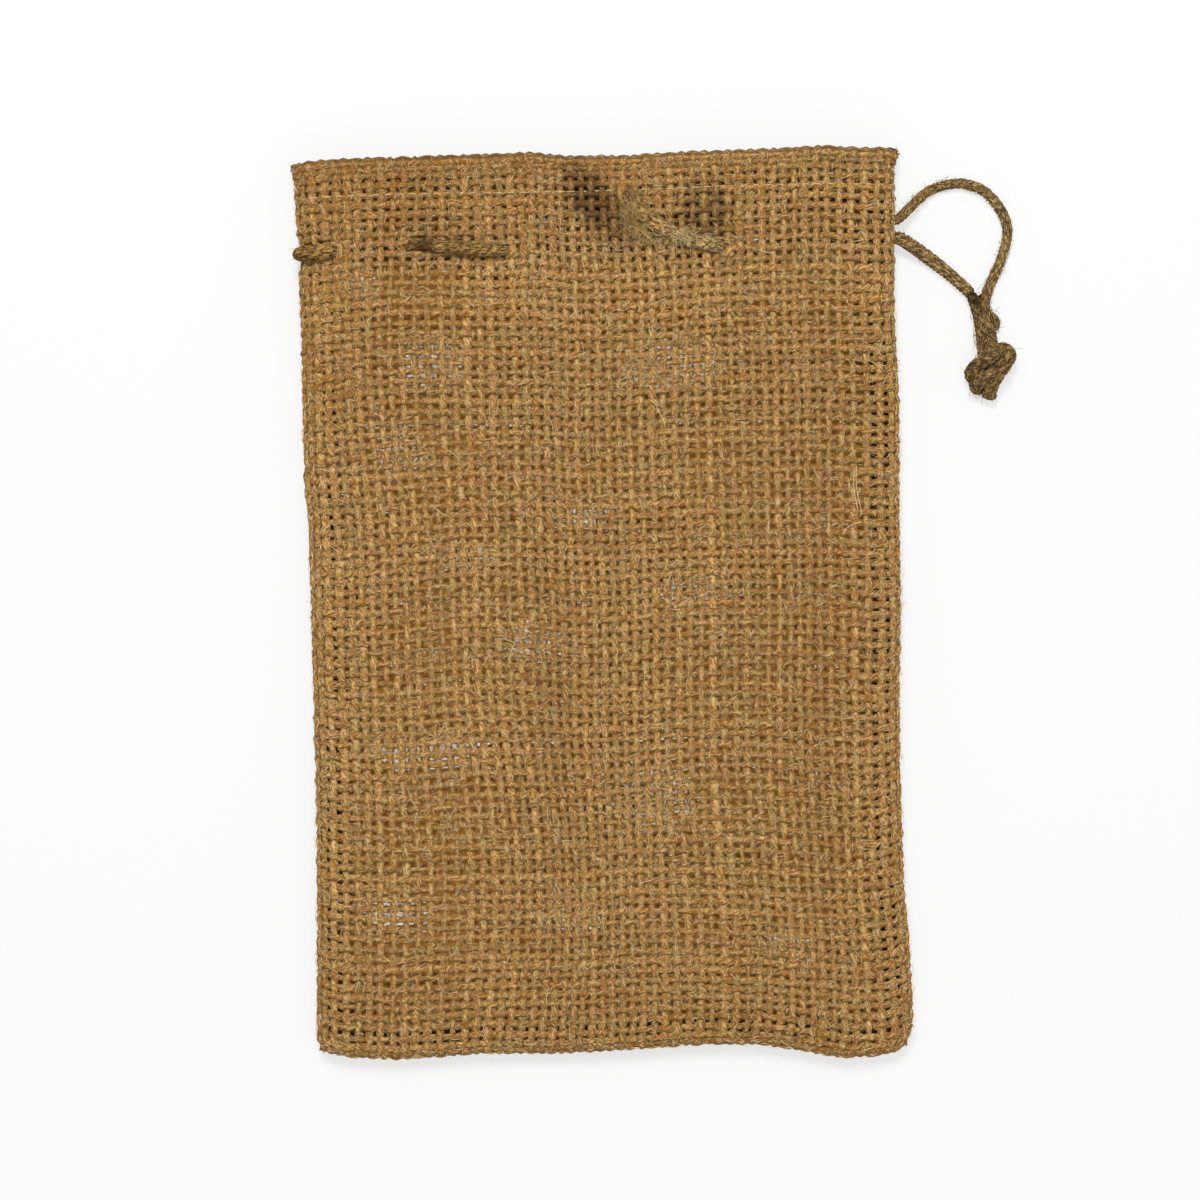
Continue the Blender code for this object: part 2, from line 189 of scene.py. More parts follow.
# where both cloths are so open that the surface shows through: x, y, half width, half height,
# narrower by
SHEER_PLACES = [
    (11.7, 40.6, 13.0, 6.5, 0.13),
    (-2.0, 15.5, 8.0, 3.5, 0.14),
    (-12.0, -6.0, 8.0, 5.0, 0.13),
    (8.3, -33.0, 11.0, 7.0, 0.12),
    (-31.6, -24.0, 13.0, 4.0, 0.12),
    (-38.0, -51.0, 9.0, 5.0, 0.12),
    (-41.0, 55.0, 6.0, 4.0, 0.1),
    (-28.0, 41.0, 8.0, 7.0, 0.11),
    (16.0, 2.0, 9.0, 4.0, 0.1),
    (-24.0, 8.0, 10.0, 4.0, 0.1),
    (-34.0, 26.0, 7.0, 5.0, 0.1),
    (30.0, -58.0, 8.0, 5.0, 0.09),
    (-6.0, -52.0, 9.0, 5.0, 0.09),
]
# how much larger the back cloth is woven, so that the open places lie under each other from above
SIGHT_SPREAD = 0.012
# the strength from which the two cloths' rows lie right under each other
SHEER_FULL = 0.15
# how much of the opening the warp and the weft take, by growing narrower
WARP_OPENS, WEFT_OPENS = 0.1, 0.68

# how the yarns are laid: the first one's inset, the spread of their pitches, how far from a seam
# their drifts fade out, and their sway to either side with its length in crossings
YARN_INSET = 0.6 * MM
PITCH_SPREAD = 0.07
SEAM_EASE = 9.0 * MM
YARN_SWAY, SWAY_LENGTH = 0.07 * MM, 1.8
# how they are spun: the spread of their mean widths, the long and the short slubs in crossings,
# the narrowest and widest share, and how much wider they lie where they cross over or under
WIDTH_SPREAD = 0.09
LONG_SLUB, SHORT_SLUB = 7.0, 1.7
SLUB_RANGE = (0.62, 1.5)
PRESSED = 0.1
# how far the yarns keep off the drawstring
CORD_CLEARANCE = 0.4 * MM

# the hem's thread along the sack: x, y
THREAD_LINE = [
    (-50.2, 68.5), (-43.9, 68.7), (-34.5, 69.1), (-6.9, 69.5), (4.0, 69.8), (15.0, 70.2), (21.0, 70.5),
    (33.5, 70.8), (48.6, 70.9),
]

# ---------------------------------------------------------------- the drawstring
CORD_DIAMETER = 2.0 * MM
CORD_LAY = 4.4 * MM
CORD_PLIES = 3
CORD_SIDES = 8
# how far its plies run on past each end, in steps, and how flat they are pressed
CORD_RUN_ON = 1.6
PLY_FLATNESS = 1.08
# a route's parts from point to point, and the steps of what is laid along it
ROUTE_PARTS = 24
ROUTE_STEP = 0.5 * MM
KNOT_STEP = 0.4 * MM

# its route from the knot and back to it: x, y, z
CORD_ROUTE = [
    # the lower end, from the knot to the right edge
    (63.1, 53.2, 1.05), (61.9, 54.3, 1.05), (59.3, 56.6, 1.05), (56.4, 58.8, 1.25), (54.4, 60.2, 2.0),
    (52.4, 61.4, 3.0), (50.3, 62.3, 3.9),
    # inside, behind the front cloth
    (45.5, 62.4, 5.4), (36.0, 61.3, 6.5), (26.5, 60.7, 6.7),
    # the stitch on the right, from low to high under the hem
    (22.0, 60.0, 8.1), (17.4, 60.7, 9.7), (13.6, 61.9, 9.75), (9.4, 64.0, 9.8), (6.2, 66.6, 9.75),
    (4.2, 69.6, 8.5),
    # inside again
    (1.4, 70.6, 6.4), (-3.6, 66.4, 5.9), (-9.0, 61.6, 6.4), (-13.0, 59.9, 6.8),
    # the stitch on the left
    (-16.8, 59.5, 8.3), (-21.3, 59.8, 9.75), (-27.3, 60.4, 9.75), (-31.7, 60.8, 8.3),
    # inside again
    (-36.0, 60.7, 6.6), (-41.4, 59.8, 6.3),
    # out, round the left edge and under the back cloth
    (-45.6, 59.5, 8.5), (-48.6, 59.2, 8.9), (-50.9, 59.2, 7.0), (-51.2, 59.4, 4.4), (-50.2, 59.9, 2.0),
    (-47.4, 60.4, 1.1), (-44.2, 60.5, 1.4),
    # inside, above the back cloth, and two stitches under it
    (-39.8, 60.6, 2.7), (-36.0, 60.6, 2.7), (-31.8, 60.6, 1.3), (-28.0, 60.6, 1.05),
    (-21.0, 60.6, 1.05), (-17.2, 60.6, 1.3), (-13.0, 60.6, 2.7), (-6.5, 60.6, 2.7), (0.0, 60.6, 2.7),
    (4.2, 60.6, 1.3), (8.0, 60.6, 1.05), (17.0, 60.6, 1.05), (20.8, 60.6, 1.3), (25.0, 60.7, 2.7),
    # inside to the right edge
    (34.0, 62.0, 2.7), (43.0, 64.0, 2.8), (47.5, 64.8, 3.5), (50.3, 65.4, 3.9),
    # the upper end, out as a loop and down to the knot
    (52.4, 67.3, 3.0), (54.3, 69.2, 1.7), (56.6, 70.9, 1.05), (60.7, 71.9, 1.05), (64.8, 71.0, 1.05),
    (67.6, 68.4, 1.05), (69.2, 65.5, 1.05), (69.4, 62.6, 1.05), (68.4, 58.9, 1.05), (66.9, 55.4, 1.1),
    (65.9, 53.2, 1.3),
]

# the knot and the two strands that run into it: radius, then x, y, z along each strand
KNOT_STRANDS = [
    (1.00, [(63.35, 52.75, 1.05), (64.1, 50.6, 1.1), (64.7, 47.8, 1.3), (65.0, 44.6, 1.8),
            (65.2, 41.6, 2.4)]),
    (1.00, [(65.75, 52.75, 1.35), (65.5, 50.9, 2.1), (66.0, 48.6, 1.8), (66.7, 45.6, 1.8),
            (66.6, 42.0, 2.4)]),
    (0.75, [(66.3, 49.6, 1.1), (67.2, 48.9, 1.2), (67.6, 47.9, 1.2), (67.3, 47.2, 1.2)]),
    (1.35, [(66.4, 43.2, 1.6), (68.6, 43.4, 1.9), (69.5, 42.4, 3.3), (68.5, 40.6, 4.3),
            (67.2, 38.6, 3.9), (66.4, 36.8, 2.8), (66.3, 35.5, 2.0)]),
    (1.30, [(68.4, 42.9, 3.6), (66.4, 42.1, 4.9), (64.4, 40.9, 4.5), (63.1, 39.4, 3.0),
            (64.0, 38.2, 1.6)]),
    (1.25, [(66.6, 39.4, 3.6), (64.8, 38.4, 4.1), (63.8, 37.2, 3.0), (64.8, 36.9, 1.6),
            (66.2, 38.2, 1.5)]),
    (1.05, [(64.6, 52.2, 1.5), (64.8, 50.2, 1.8), (65.4, 47.6, 1.9), (65.8, 44.8, 2.1),
            (65.9, 42.0, 2.8)]),
    (1.35, [(67.2, 42.8, 2.6), (66.9, 41.2, 3.1), (66.3, 39.8, 3.1), (65.6, 38.4, 2.6)]),
]
# how thick the drawstring is along its way, as drawn here against its declared diameter: way, share
CORD_SWELL = [
    (0.0, 1.1), (4.0, 1.15), (10.0, 1.3), (16.0, 1.25), (22.0, 1.0), (44.0, 0.9), (48.0, 1.15),
    (56.0, 1.3), (60.0, 1.55), (64.0, 1.6), (68.0, 1.2), (74.0, 1.0), (88.0, 1.1), (100.0, 1.15),
    (106.0, 1.05), (114.0, 1.2), (120.0, 1.3), (124.0, 1.5), (128.0, 1.5), (131.0, 1.1), (135.0, 1.0),
    (228.0, 1.0), (236.0, 0.95), (250.0, 0.94), (258.0, 1.0), (266.0, 0.95), (274.0, 1.0),
]
# the loose fibres on the drawstring and the knot: number, distance from the middle line
CORD_FIBRES = (900, CORD_DIAMETER / 2)
KNOT_FIBRES = (500, 1.2 * MM)
# where the drawstring is frayed on the front cloth: middle x and y, half width, half height, fibres
FRAYED = [
    (4.8, 66.6, 2.3, 4.0, 230),
    (6.4, 63.4, 3.0, 2.4, 120),
    (13.4, 62.0, 5.0, 1.5, 170),
]
# the frayed tufts: height above the mouth's, spread against their half size, heading, its stray
FRAY_HEIGHT = 1.8 * MM
FRAY_SPREAD = 0.45
FRAY_HEADING, FRAY_STRAY = -0.8, 0.6
# threads that lie loose on the front cloth: x, y along each
LOOSE_THREADS = [
    [(43.2, 23.6), (43.1, 20.9), (43.4, 18.3), (43.9, 16.2), (43.9, 14.6)],
    [(42.8, 22.9), (42.7, 20.2), (43.1, 17.4), (43.5, 15.4)],
    [(44.1, 14.0), (42.7, 13.5), (41.7, 13.0), (41.2, 12.3), (40.7, 11.4)],
    [(8.2, 34.7), (9.3, 33.7), (9.9, 32.3), (10.6, 31.0), (10.9, 29.6)],
    [(8.6, 34.9), (9.4, 34.2), (10.0, 33.2)],
]


# ---------------------------------------------------------------- settings
def length_property(name, description, default):
    return bpy.props.FloatProperty(
        name=name, description=description, default=default, min=0.0, subtype="DISTANCE", unit="LENGTH"
    )


def number_property(name, description, default, **limits):
    return bpy.props.FloatProperty(name=name, description=description, default=default, **limits)


def count_property(name, description, default, **limits):
    return bpy.props.IntProperty(name=name, description=description, default=default, **limits)


def colour_property(name, description, default):
    return bpy.props.FloatVectorProperty(
        name=name, description=description, default=default, size=4, min=0.0, max=1.0, subtype="COLOR"
    )


class SackWeave(bpy.types.PropertyGroup):
    """The burlap's yarns."""

    warp_width: length_property("Warp Width", "How wide a warp yarn lies in the weave", 1.18 * MM)
    weft_width: length_property("Weft Width", "How wide a weft yarn lies in the weave", 1.08 * MM)
    yarn_thickness: length_property("Yarn Thickness", "How thick a pressed yarn is", 0.66 * MM)
    cloth_thickness: length_property("Cloth Thickness", "Of the weave, face to face", 1.1 * MM)
    allowance: length_property("Seam Allowance", "What is turned in at each seam", 5.0 * MM)
    hem_depth: length_property("Hem Depth", "What is folded inwards at the mouth", 7.4 * MM)
    back_width: number_property("Back Width", "The back cloth's yarns against the front's", 1.25)
    slub: number_property("Slub", "How unevenly thick the yarns are spun", 0.19, min=0.0, max=0.5)
    roughness: number_property("Roughness", "How far a yarn's surface stands out or in", 0.2, max=0.5)
    back_share: number_property(
        "Back Share", "The back cloth's loose fibres against the front's", 0.34, min=0.0, max=1.0
    )
    sides: count_property("Yarn Sides", "Faces round one yarn", 5, min=3, max=12)
    steps: count_property("Steps", "Faces along a yarn between two crossings", 3, min=2, max=8)
    back_steps: count_property("Back Steps", "The same on the back cloth", 2, min=2, max=8)
    warp_pale: colour_property("Warp, Pale", "Pale fibres of the warp", (0.370, 0.242, 0.092, 1.0))
    warp_deep: colour_property("Warp, Deep", "Deep fibres of the warp", (0.158, 0.066, 0.008, 1.0))
    weft_pale: colour_property("Weft, Pale", "Pale fibres of the weft", (0.340, 0.216, 0.076, 1.0))
    weft_deep: colour_property("Weft, Deep", "Deep fibres of the weft", (0.136, 0.052, 0.005, 1.0))
    # painted light: the paler inner side of the back cloth stands in for the light that the open weave lets
    # into the sack
    inner: colour_property(
        "Inner Side", "How much paler the sides that face into the sack look", (1.0, 0.47, 0.07, 1.0)
    )
    inner_light_share: number_property("Inner Share", "How strongly they are tinted", 0.56, max=1.0)
    rust: colour_property("Rust", "The orange tint in some stretches", (0.235, 0.088, 0.013, 1.0))
    # painted shade: the dark colour along the rim of the mouth, where the cloth folds inwards
    rim_shade_colour: colour_property("Fold", "The shaded rim of the mouth", (0.075, 0.050, 0.018, 1.0))
    stain: colour_property("Stain", "The two dark stains at the drawstring", (0.026, 0.011, 0.003, 1.0))


class SackTrim(bpy.types.PropertyGroup):
    """The hem's thread, the drawstring and the loose fibres."""

    thread_width: length_property("Thread Width", "Of the hem's sewing thread", 0.17 * MM)
    stitch_length: length_property("Stitch Length", "Of the hem's lockstitch", 2.1 * MM)
    ply_width: length_property("Ply Width", "Of each of the cord's three plies", 1.42 * MM)
    fibre_width: length_property("Fibre Width", "Of a loose fibre", 0.1 * MM)
    fibre_share: number_property("Loose Fibres", "Against the full number", 1.0, min=0.0, max=1.5)
    back_haze: number_property(
        "Back Haze", "The back's fibres in the sheer places, against the front's", 2.8, min=0.0
    )
    cord_pale: colour_property("Cord, Pale", "Pale fibres of the drawstring", (0.256, 0.165, 0.060, 1.0))
    cord_deep: colour_property("Cord, Deep", "Deep fibres of the drawstring", (0.034, 0.017, 0.0045, 1.0))
    # painted shade: the knot's colours are darker than the cord's, for the shade among its tight strands
    knot_shaded_pale: colour_property("Knot, Pale", "Pale fibres of the knot", (0.192, 0.116, 0.038, 1.0))
    knot_shaded_deep: colour_property("Knot, Deep", "Deep fibres of the knot", (0.020, 0.009, 0.003, 1.0))
    thread_colour: colour_property("Thread", "The hem's straw-coloured thread", (0.47, 0.35, 0.14, 1.0))
    fibre_colour: colour_property("Fibre", "The loose fibres", (0.65, 0.465, 0.235, 1.0))
    fray_colour: colour_property("Frayed", "The drawstring's loose fibres", (0.34, 0.245, 0.105, 1.0))


class SackStage(bpy.types.PropertyGroup):
    """The floor, the lights and the camera."""

    camera_height: length_property("Camera Height", "Above the surface", 571.0 * MM)
    camera_lens: number_property("Lens", "Focal length in millimetres", 100.0, min=10.0, max=300.0)
    floor_size: length_property("Floor Size", "Of the pale floor", 3.0)
    floor_colour: colour_property("Floor", "The pale floor", (0.13, 0.13, 0.13, 1.0))
    floor_glow: number_property("Floor Glow", "The light that comes up through it", 0.655, min=0.0)


# ---------------------------------------------------------------- shapes and rows of numbers
def smooth_step(low, high, at):
    share = np.clip((at - low) / (high - low), 0.0, 1.0)
    return share * share * (3.0 - 2.0 * share)


def bump(distance):
    """1 in the middle, 0 from a distance of 1, smooth between."""
    return 0.5 + 0.5 * np.cos(np.pi * np.minimum(np.abs(distance), 1.0))


def within(patch, x, y):
    """1 in the middle of a soft patch and 0 outside; its middle x and y, half width, half height."""
    middle_x, middle_y, reach_x, reach_y = patch
    return bump((x / MM - middle_x) / reach_x) * bump((y / MM - middle_y) / reach_y)


def over_places(table, x, y):
    """How strongly a place lies in a table's soft patches, with each patch's own strength."""
    share = np.zeros_like(x)
    for *patch, strength in table:
        share = np.maximum(share, strength * np.minimum(2.0 * within(patch, x, y), 1.0))
    return share


def unit(vectors):
    return vectors / np.maximum(np.linalg.norm(vectors, axis=-1, keepdims=True), 1e-12)


def edge_reader(table, key, value):
    """The edge as a function of the share of the way from its first corner to its last."""
    rows = np.array(table) * MM
    first, last = rows[0, key], rows[-1, key]
    return lambda share: np.interp(first + (last - first) * share, rows[:, key], rows[:, value])


left_x = edge_reader(LEFT_EDGE, 1, 0)
right_x = edge_reader(RIGHT_EDGE, 1, 0)
bottom_y = edge_reader(BOTTOM_EDGE, 0, 1)
top_y = edge_reader(TOP_EDGE, 0, 1)
# the cut's width and length: the bottom and the left edge, where the sack is narrowest and
# shortest, and what it is more in its middle
MORE_WIDTH, MORE_LENGTH = 3.0, 2.0
WIDTH = (RIGHT_EDGE[0][0] - LEFT_EDGE[0][0] + MORE_WIDTH) * MM
LENGTH = (TOP_EDGE[0][1] - BOTTOM_EDGE[0][1] + MORE_LENGTH) * MM


def soft_noise(rng, rows, places, spacing):
    """Smooth noise along each of some rows, about -1 to 1, with knots a spacing apart."""
    knots = np.arange(places.min() - spacing, places.max() + 2 * spacing, spacing)
    values = rng.uniform(-1.0, 1.0, (rows, len(knots)))
    turn = (places - knots[0]) / spacing
    low = np.clip(np.floor(turn).astype(int), 0, len(knots) - 2)
    share = turn - low
    share = share * share * (3.0 - 2.0 * share)
    return values[:, low] * (1.0 - share) + values[:, low + 1] * share


def smooth_route(points, step):
    """Places about a step apart on a Catmull-Rom curve through points in millimetres."""
    rows = np.array(points, float) * MM
    knots = np.vstack([2 * rows[0] - rows[1], rows, 2 * rows[-1] - rows[-2]])
    share = np.linspace(0.0, 1.0, ROUTE_PARTS, endpoint=False)[None, :, None]
    a, b, c, d = (knots[start : len(knots) - 3 + start][:, None, :] for start in range(4))
    fine = 0.5 * (2 * b + (c - a) * share + (2 * a - 5 * b + 4 * c - d) * share**2
                  + (3 * b - a - 3 * c + d) * share**3)
    fine = np.vstack([fine.reshape(-1, 3), rows[-1]])
    lengths = np.concatenate([[0.0], np.cumsum(np.linalg.norm(np.diff(fine, axis=0), axis=1))])
    places = np.linspace(0.0, lengths[-1], max(round(lengths[-1] / step), 1) + 1)
    return np.stack([np.interp(places, lengths, fine[:, axis]) for axis in range(3)], axis=1), lengths[-1]

CORD_WAY, CORD_LENGTH = smooth_route(CORD_ROUTE, ROUTE_STEP)
KNOT_WAY = np.vstack([smooth_route(points, ROUTE_STEP)[0] for _, points in KNOT_STRANDS])


# ---------------------------------------------------------------- the cloth's form
class Cloth:
    """The front or back cloth: where each place of its flat cut lies on the sack.

    outward is 1 for the front cloth, whose outer face looks up, and -1 for the back.
    """

    def __init__(self, outward, weave):
        self.outward = outward
        self.thickness = weave.cloth_thickness
        self.fold_radius = weave.cloth_thickness / 2
        quarter = math.pi / 2 * math.sqrt((ROUND_REACH**2 + SEAM_LEVEL**2) / 2)
        self.round_arc = quarter
        self.across = WIDTH + 2 * (quarter - ROUND_REACH)
        self.fold_at = LENGTH - 2 * self.fold_radius + quarter - ROUND_REACH
        self.fold_end = self.fold_at + math.pi * self.fold_radius
        self.along = self.fold_end + weave.hem_depth - 2 * self.fold_radius

    def rounded(self, distance):
        """A place's distance from the edge and its share of the full height, by its way along the cloth."""
        turn = np.clip(distance / self.round_arc, 0.0, 1.0) * np.pi / 2
        return ROUND_REACH * (1.0 - np.cos(turn)) + np.maximum(distance - self.round_arc, 0.0), np.sin(turn)

    def height(self, share, x, y, depth):
        """The middle of the cloth above the surface; depth is how far inside its outer layer."""
        if self.outward > 0:
            seam = SEAM_LEVEL + SEAM_GAP / 2
            crown = BODY_HEIGHT + (MOUTH_HEIGHT - BODY_HEIGHT) * smooth_step(*MOUTH_RISE, y)
            for *patch, rise in FRONT_WAVES:
                crown = crown + rise * MM * within(patch, x, y)
            crown = crown - CLOTH_DIP * self.stitch_share(x, y, FRONT_STITCHES)
            return seam + (crown - self.thickness / 2 - depth - seam) * share
        seam = SEAM_LEVEL - SEAM_GAP / 2
        face = np.maximum(seam * (1.0 - share), TUNNEL_HEIGHT * self.stitch_share(x, y, BACK_STITCHES))
        return face + (self.thickness / 2 + depth) * share

    @staticmethod
    def stitch_share(x, y, stitches):
        """How far a place lies under a stitch of the drawstring, from 0 to 1."""
        share = np.zeros_like(x)
        for start, end, middle in stitches:
            outside = np.maximum(np.maximum(start * MM - x, x - end * MM), 0.0)
            near = bump(outside / STITCH_REACH) * bump((y - middle * MM) / STITCH_REACH)
            share = np.maximum(share, near)
        return share

    def lay(self, across, along):
        """Places on the middle of the cloth, from places on its flat cut measured from its seams."""
        from_left, left_share = self.rounded(np.maximum(across, 0.0))
        from_right, right_share = self.rounded(np.maximum(self.across - across, 0.0))
        from_bottom, bottom_share = self.rounded(np.maximum(along, 0.0))
        u = np.where(across < self.across / 2, from_left, WIDTH - from_right) / WIDTH

        turn = np.clip((along - self.fold_at) / self.fold_radius, 0.0, np.pi)
        up_to_fold = np.minimum(from_bottom, LENGTH - 2 * self.fold_radius)
        past_fold = self.fold_radius * np.sin(turn) - np.maximum(along - self.fold_end, 0.0)
        depth = self.fold_radius * (1.0 - np.cos(turn))
        v = (up_to_fold + past_fold) / LENGTH

        x = left_x(v) + (right_x(v) - left_x(v)) * u
        y = bottom_y(u) + (top_y(u) - bottom_y(u)) * v
        z = self.height(left_share * right_share * bottom_share, x, y, depth)

        pinch_y, pinch_reach, pinch_depth = EDGE_PINCH
        pinch = bump((y / MM - pinch_y) / pinch_reach) * bump(from_left / ROUND_REACH)
        tuck_left = np.maximum(-across, 0.0)
        tuck_right = np.maximum(across - self.across, 0.0)
        tuck_up = np.maximum(-along, 0.0)
        inset = self.thickness / 2
        x = x + inset * (1.0 - 2.0 * u) + tuck_left - tuck_right + pinch_depth * MM * pinch
        y = y + inset * (1.0 - v) + tuck_up
        if self.outward < 0:
            for middle, reach, rise in BACK_PEEKS:
                y = y + rise * MM * bump((x / MM - middle) / reach) * smooth_step(*PEEK_RANGE, v)
            z = z + BACK_LIFT
        z = z + self.outward * np.minimum(tuck_left + tuck_right + tuck_up, SEAM_TUCK)
        return np.stack([x, y, z], axis=-1)

    def lay_with_faces(self, across, along):
        """The same places, and the direction out of the cloth's outer face at each."""
        nudge = 0.05 * MM
        here = self.lay(across, along)
        by_across = self.lay(across + nudge, along) - self.lay(across - nudge, along)
        by_along = self.lay(across, along + nudge) - self.lay(across, along - nudge)
        return here, unit(np.cross(by_across, by_along)) * self.outward


# ---------------------------------------------------------------- yarns
class Weave:
    """The places of a cloth's warp and weft yarns on its flat cut, and how they cross."""

    def __init__(self, cloth, settings, rng, steps):
        self.cloth = cloth
        self.settings = settings
        self.steps = steps
        self.rng = rng
        placing = np.random.default_rng(PLACING_SEED)
        low = -settings.allowance
        self.warp = self.yarn_places(low, cloth.across - low, WARP_PITCHES, WIDTH / 2, placing)
        self.weft = self.yarn_places(low, cloth.along, WEFT_PITCHES, LENGTH / 2, placing)
        fold_top = (cloth.fold_at + cloth.fold_end) / 2
        self.weft = self.weft + fold_top - self.weft[np.argmin(np.abs(self.weft - fold_top))]
        self.crimp = (cloth.thickness - settings.yarn_thickness) / 2

    @staticmethod
    def yarn_places(low, high, pitches, middle, rng):
        """The yarns' places from low to high, by a table of pitches that is read from the middle."""
        table = np.array(pitches) * MM
        places = [low + YARN_INSET]
        while places[-1] < high - YARN_INSET:
            pitch = np.interp(places[-1] - middle, table[:, 0], table[:, 1])
            places.append(places[-1] + pitch * (1.0 + PITCH_SPREAD * rng.uniform(-1.0, 1.0)))
        return np.array(places)

    def on_cut(self, warp_number, weft_number):
        """The flat place where a warp and a weft yarn meet; between yarns the numbers are fractions."""
        across = np.interp(warp_number, np.arange(len(self.warp)), self.warp)
        along = np.interp(weft_number, np.arange(len(self.weft)), self.weft)
        x, y = across - self.cloth.across / 2, along - LENGTH / 2
        seams = smooth_step(0.0, SEAM_EASE, np.minimum(across, self.cloth.across - across))
        ends = smooth_step(0.0, SEAM_EASE, np.minimum(along, self.cloth.fold_at - along))
        for *patch, shift_x, shift_y in WEAVE_DRIFTS:
            near = within(patch, x, y)
            across = across + shift_x * MM * near * seams * ends
            along = along + shift_y * MM * near * seams * ends
        if self.cloth.outward < 0:
            lined_up = np.minimum(over_places(SHEER_PLACES, x, y) / SHEER_FULL, 1.0)
            half_row = (self.weft[1:] - self.weft[:-1]).mean() / 2
            across = across + SIGHT_SPREAD * x * seams
            along = along + (SIGHT_SPREAD * y + half_row * (1.0 - lined_up)) * ends
        return across, along

    def yarns(self, is_warp, numbers, run):
        """Tubes for the yarns of some numbers, along a run of crossings."""
        own, other = np.meshgrid(numbers, run, indexing="ij")
        across, along = self.on_cut(own, other) if is_warp else self.on_cut(other, own)
        count, slub = len(numbers), self.settings.slub
        sway = YARN_SWAY * soft_noise(self.rng, count, run, SWAY_LENGTH)
        if is_warp:
            across = across + sway
        else:
            along = along + sway
        places, faces = self.cloth.lay_with_faces(across, along)
        over = np.cos(np.pi * (own - other)) * (1.0 if is_warp else -1.0)
        places = places + faces * (self.crimp * over)[..., None]

        spun = WIDTH_SPREAD * self.rng.standard_normal((count, 1))
        spun = spun + slub * soft_noise(self.rng, count, run, LONG_SLUB)
        spun = 1.0 + spun + 0.5 * slub * soft_noise(self.rng, count, run, SHORT_SLUB)
        spun = np.clip(spun, *SLUB_RANGE)
        x, y = places[..., 0], places[..., 1]
        opened = WARP_OPENS if is_warp else WEFT_OPENS
        spun = spun * (1.0 - over_places(OPEN_PLACES, x, y) - opened * over_places(SHEER_PLACES, x, y))
        spun = spun * (1.0 + over_places(FULL_PLACES, x, y))
        width = self.settings.warp_width if is_warp else self.settings.weft_width
        width = width * (1.0 if self.cloth.outward > 0 else self.settings.back_width)
        wide = width / 2 * spun * (1.0 + PRESSED * np.abs(over))
        thick = self.settings.yarn_thickness / 2 * np.sqrt(spun)
        places = pushed_aside(places, CORD_WAY, CORD_DIAMETER / 2 + CORD_CLEARANCE)
        rings = tube_rings(places, faces, wide, thick, self.settings.sides)
        return roughened(rings, self.settings.roughness, self.rng)

    def all_yarns(self, is_warp):
        """Every yarn one way: the long ones, and the short ones that lie in turned-in cloth only."""
        cloth = self.cloth
        if is_warp:
            own, other, own_high, other_high = self.warp, self.weft, cloth.across, cloth.fold_at
        else:
            own, other, own_high, other_high = self.weft, self.warp, cloth.fold_end, cloth.across
        inner = (own > 0.0) & (own < own_high)
        short = np.searchsorted(other, 0.0), np.searchsorted(other, other_high) - 1
        bundles = []
        for chosen, first, last in ((inner, 0, len(other) - 1), (~inner, *short)):
            numbers = np.flatnonzero(chosen)
            run = np.linspace(first, last, (last - first) * self.steps + 1)
            bundles.append(self.yarns(is_warp, numbers, run))
        return bundles


def pushed_aside(places, way, clear):
    """Places moved straight out of the drawstring's way where they lie nearer to it than clear."""
    moved = places.reshape(-1, 3).copy()
    low, high = way.min(axis=0) - clear, way.max(axis=0) + clear
    near = np.flatnonzero(((moved > low) & (moved < high)).all(axis=1))
    gaps = moved[near][:, None, :] - way[None, :, :]
    nearest = np.argmin((gaps**2).sum(axis=2), axis=1)
    course = unit(np.gradient(way, axis=0))[nearest]
    away = gaps[np.arange(len(near)), nearest]
    away = away - course * (away * course).sum(axis=1, keepdims=True)
    distance = np.linalg.norm(away, axis=1, keepdims=True)
    shift = np.maximum(clear - distance, 0.0)
    moved[near] += unit(away) * shift
    return moved.reshape(places.shape)


def tube_rings(places, faces, wide, thick, sides):
    """Rings of points round each yarn's line, closed to a point at both ends."""
    course = unit(np.gradient(places, axis=1))
    beside = unit(np.cross(course, faces))
    upright = np.cross(beside, course)
    taper = np.ones(places.shape[1])
    taper[[0, -1]] = 0.0
    start = -math.pi / 2 + math.pi / sides
    turn = start + math.tau * np.arange(sides + 1) / sides
    reach_beside = (wide * taper)[..., None, None] * np.cos(turn)[:, None]
    reach_up = (thick * taper)[..., None, None] * np.sin(turn)[:, None]
    return places[..., None, :] + reach_beside * beside[..., None, :] + reach_up * upright[..., None, :]


def roughened(rings, amount, rng):
    """Rings whose points stand out or in by chance, as fibres do on spun jute."""
    middles = rings[..., :-1, :].mean(axis=-2, keepdims=True)
    reach = 1.0 + amount * rng.uniform(-1.0, 1.0, rings.shape[:3])
    reach[..., -1] = reach[..., 0]
    return middles + (rings - middles) * reach[..., None]


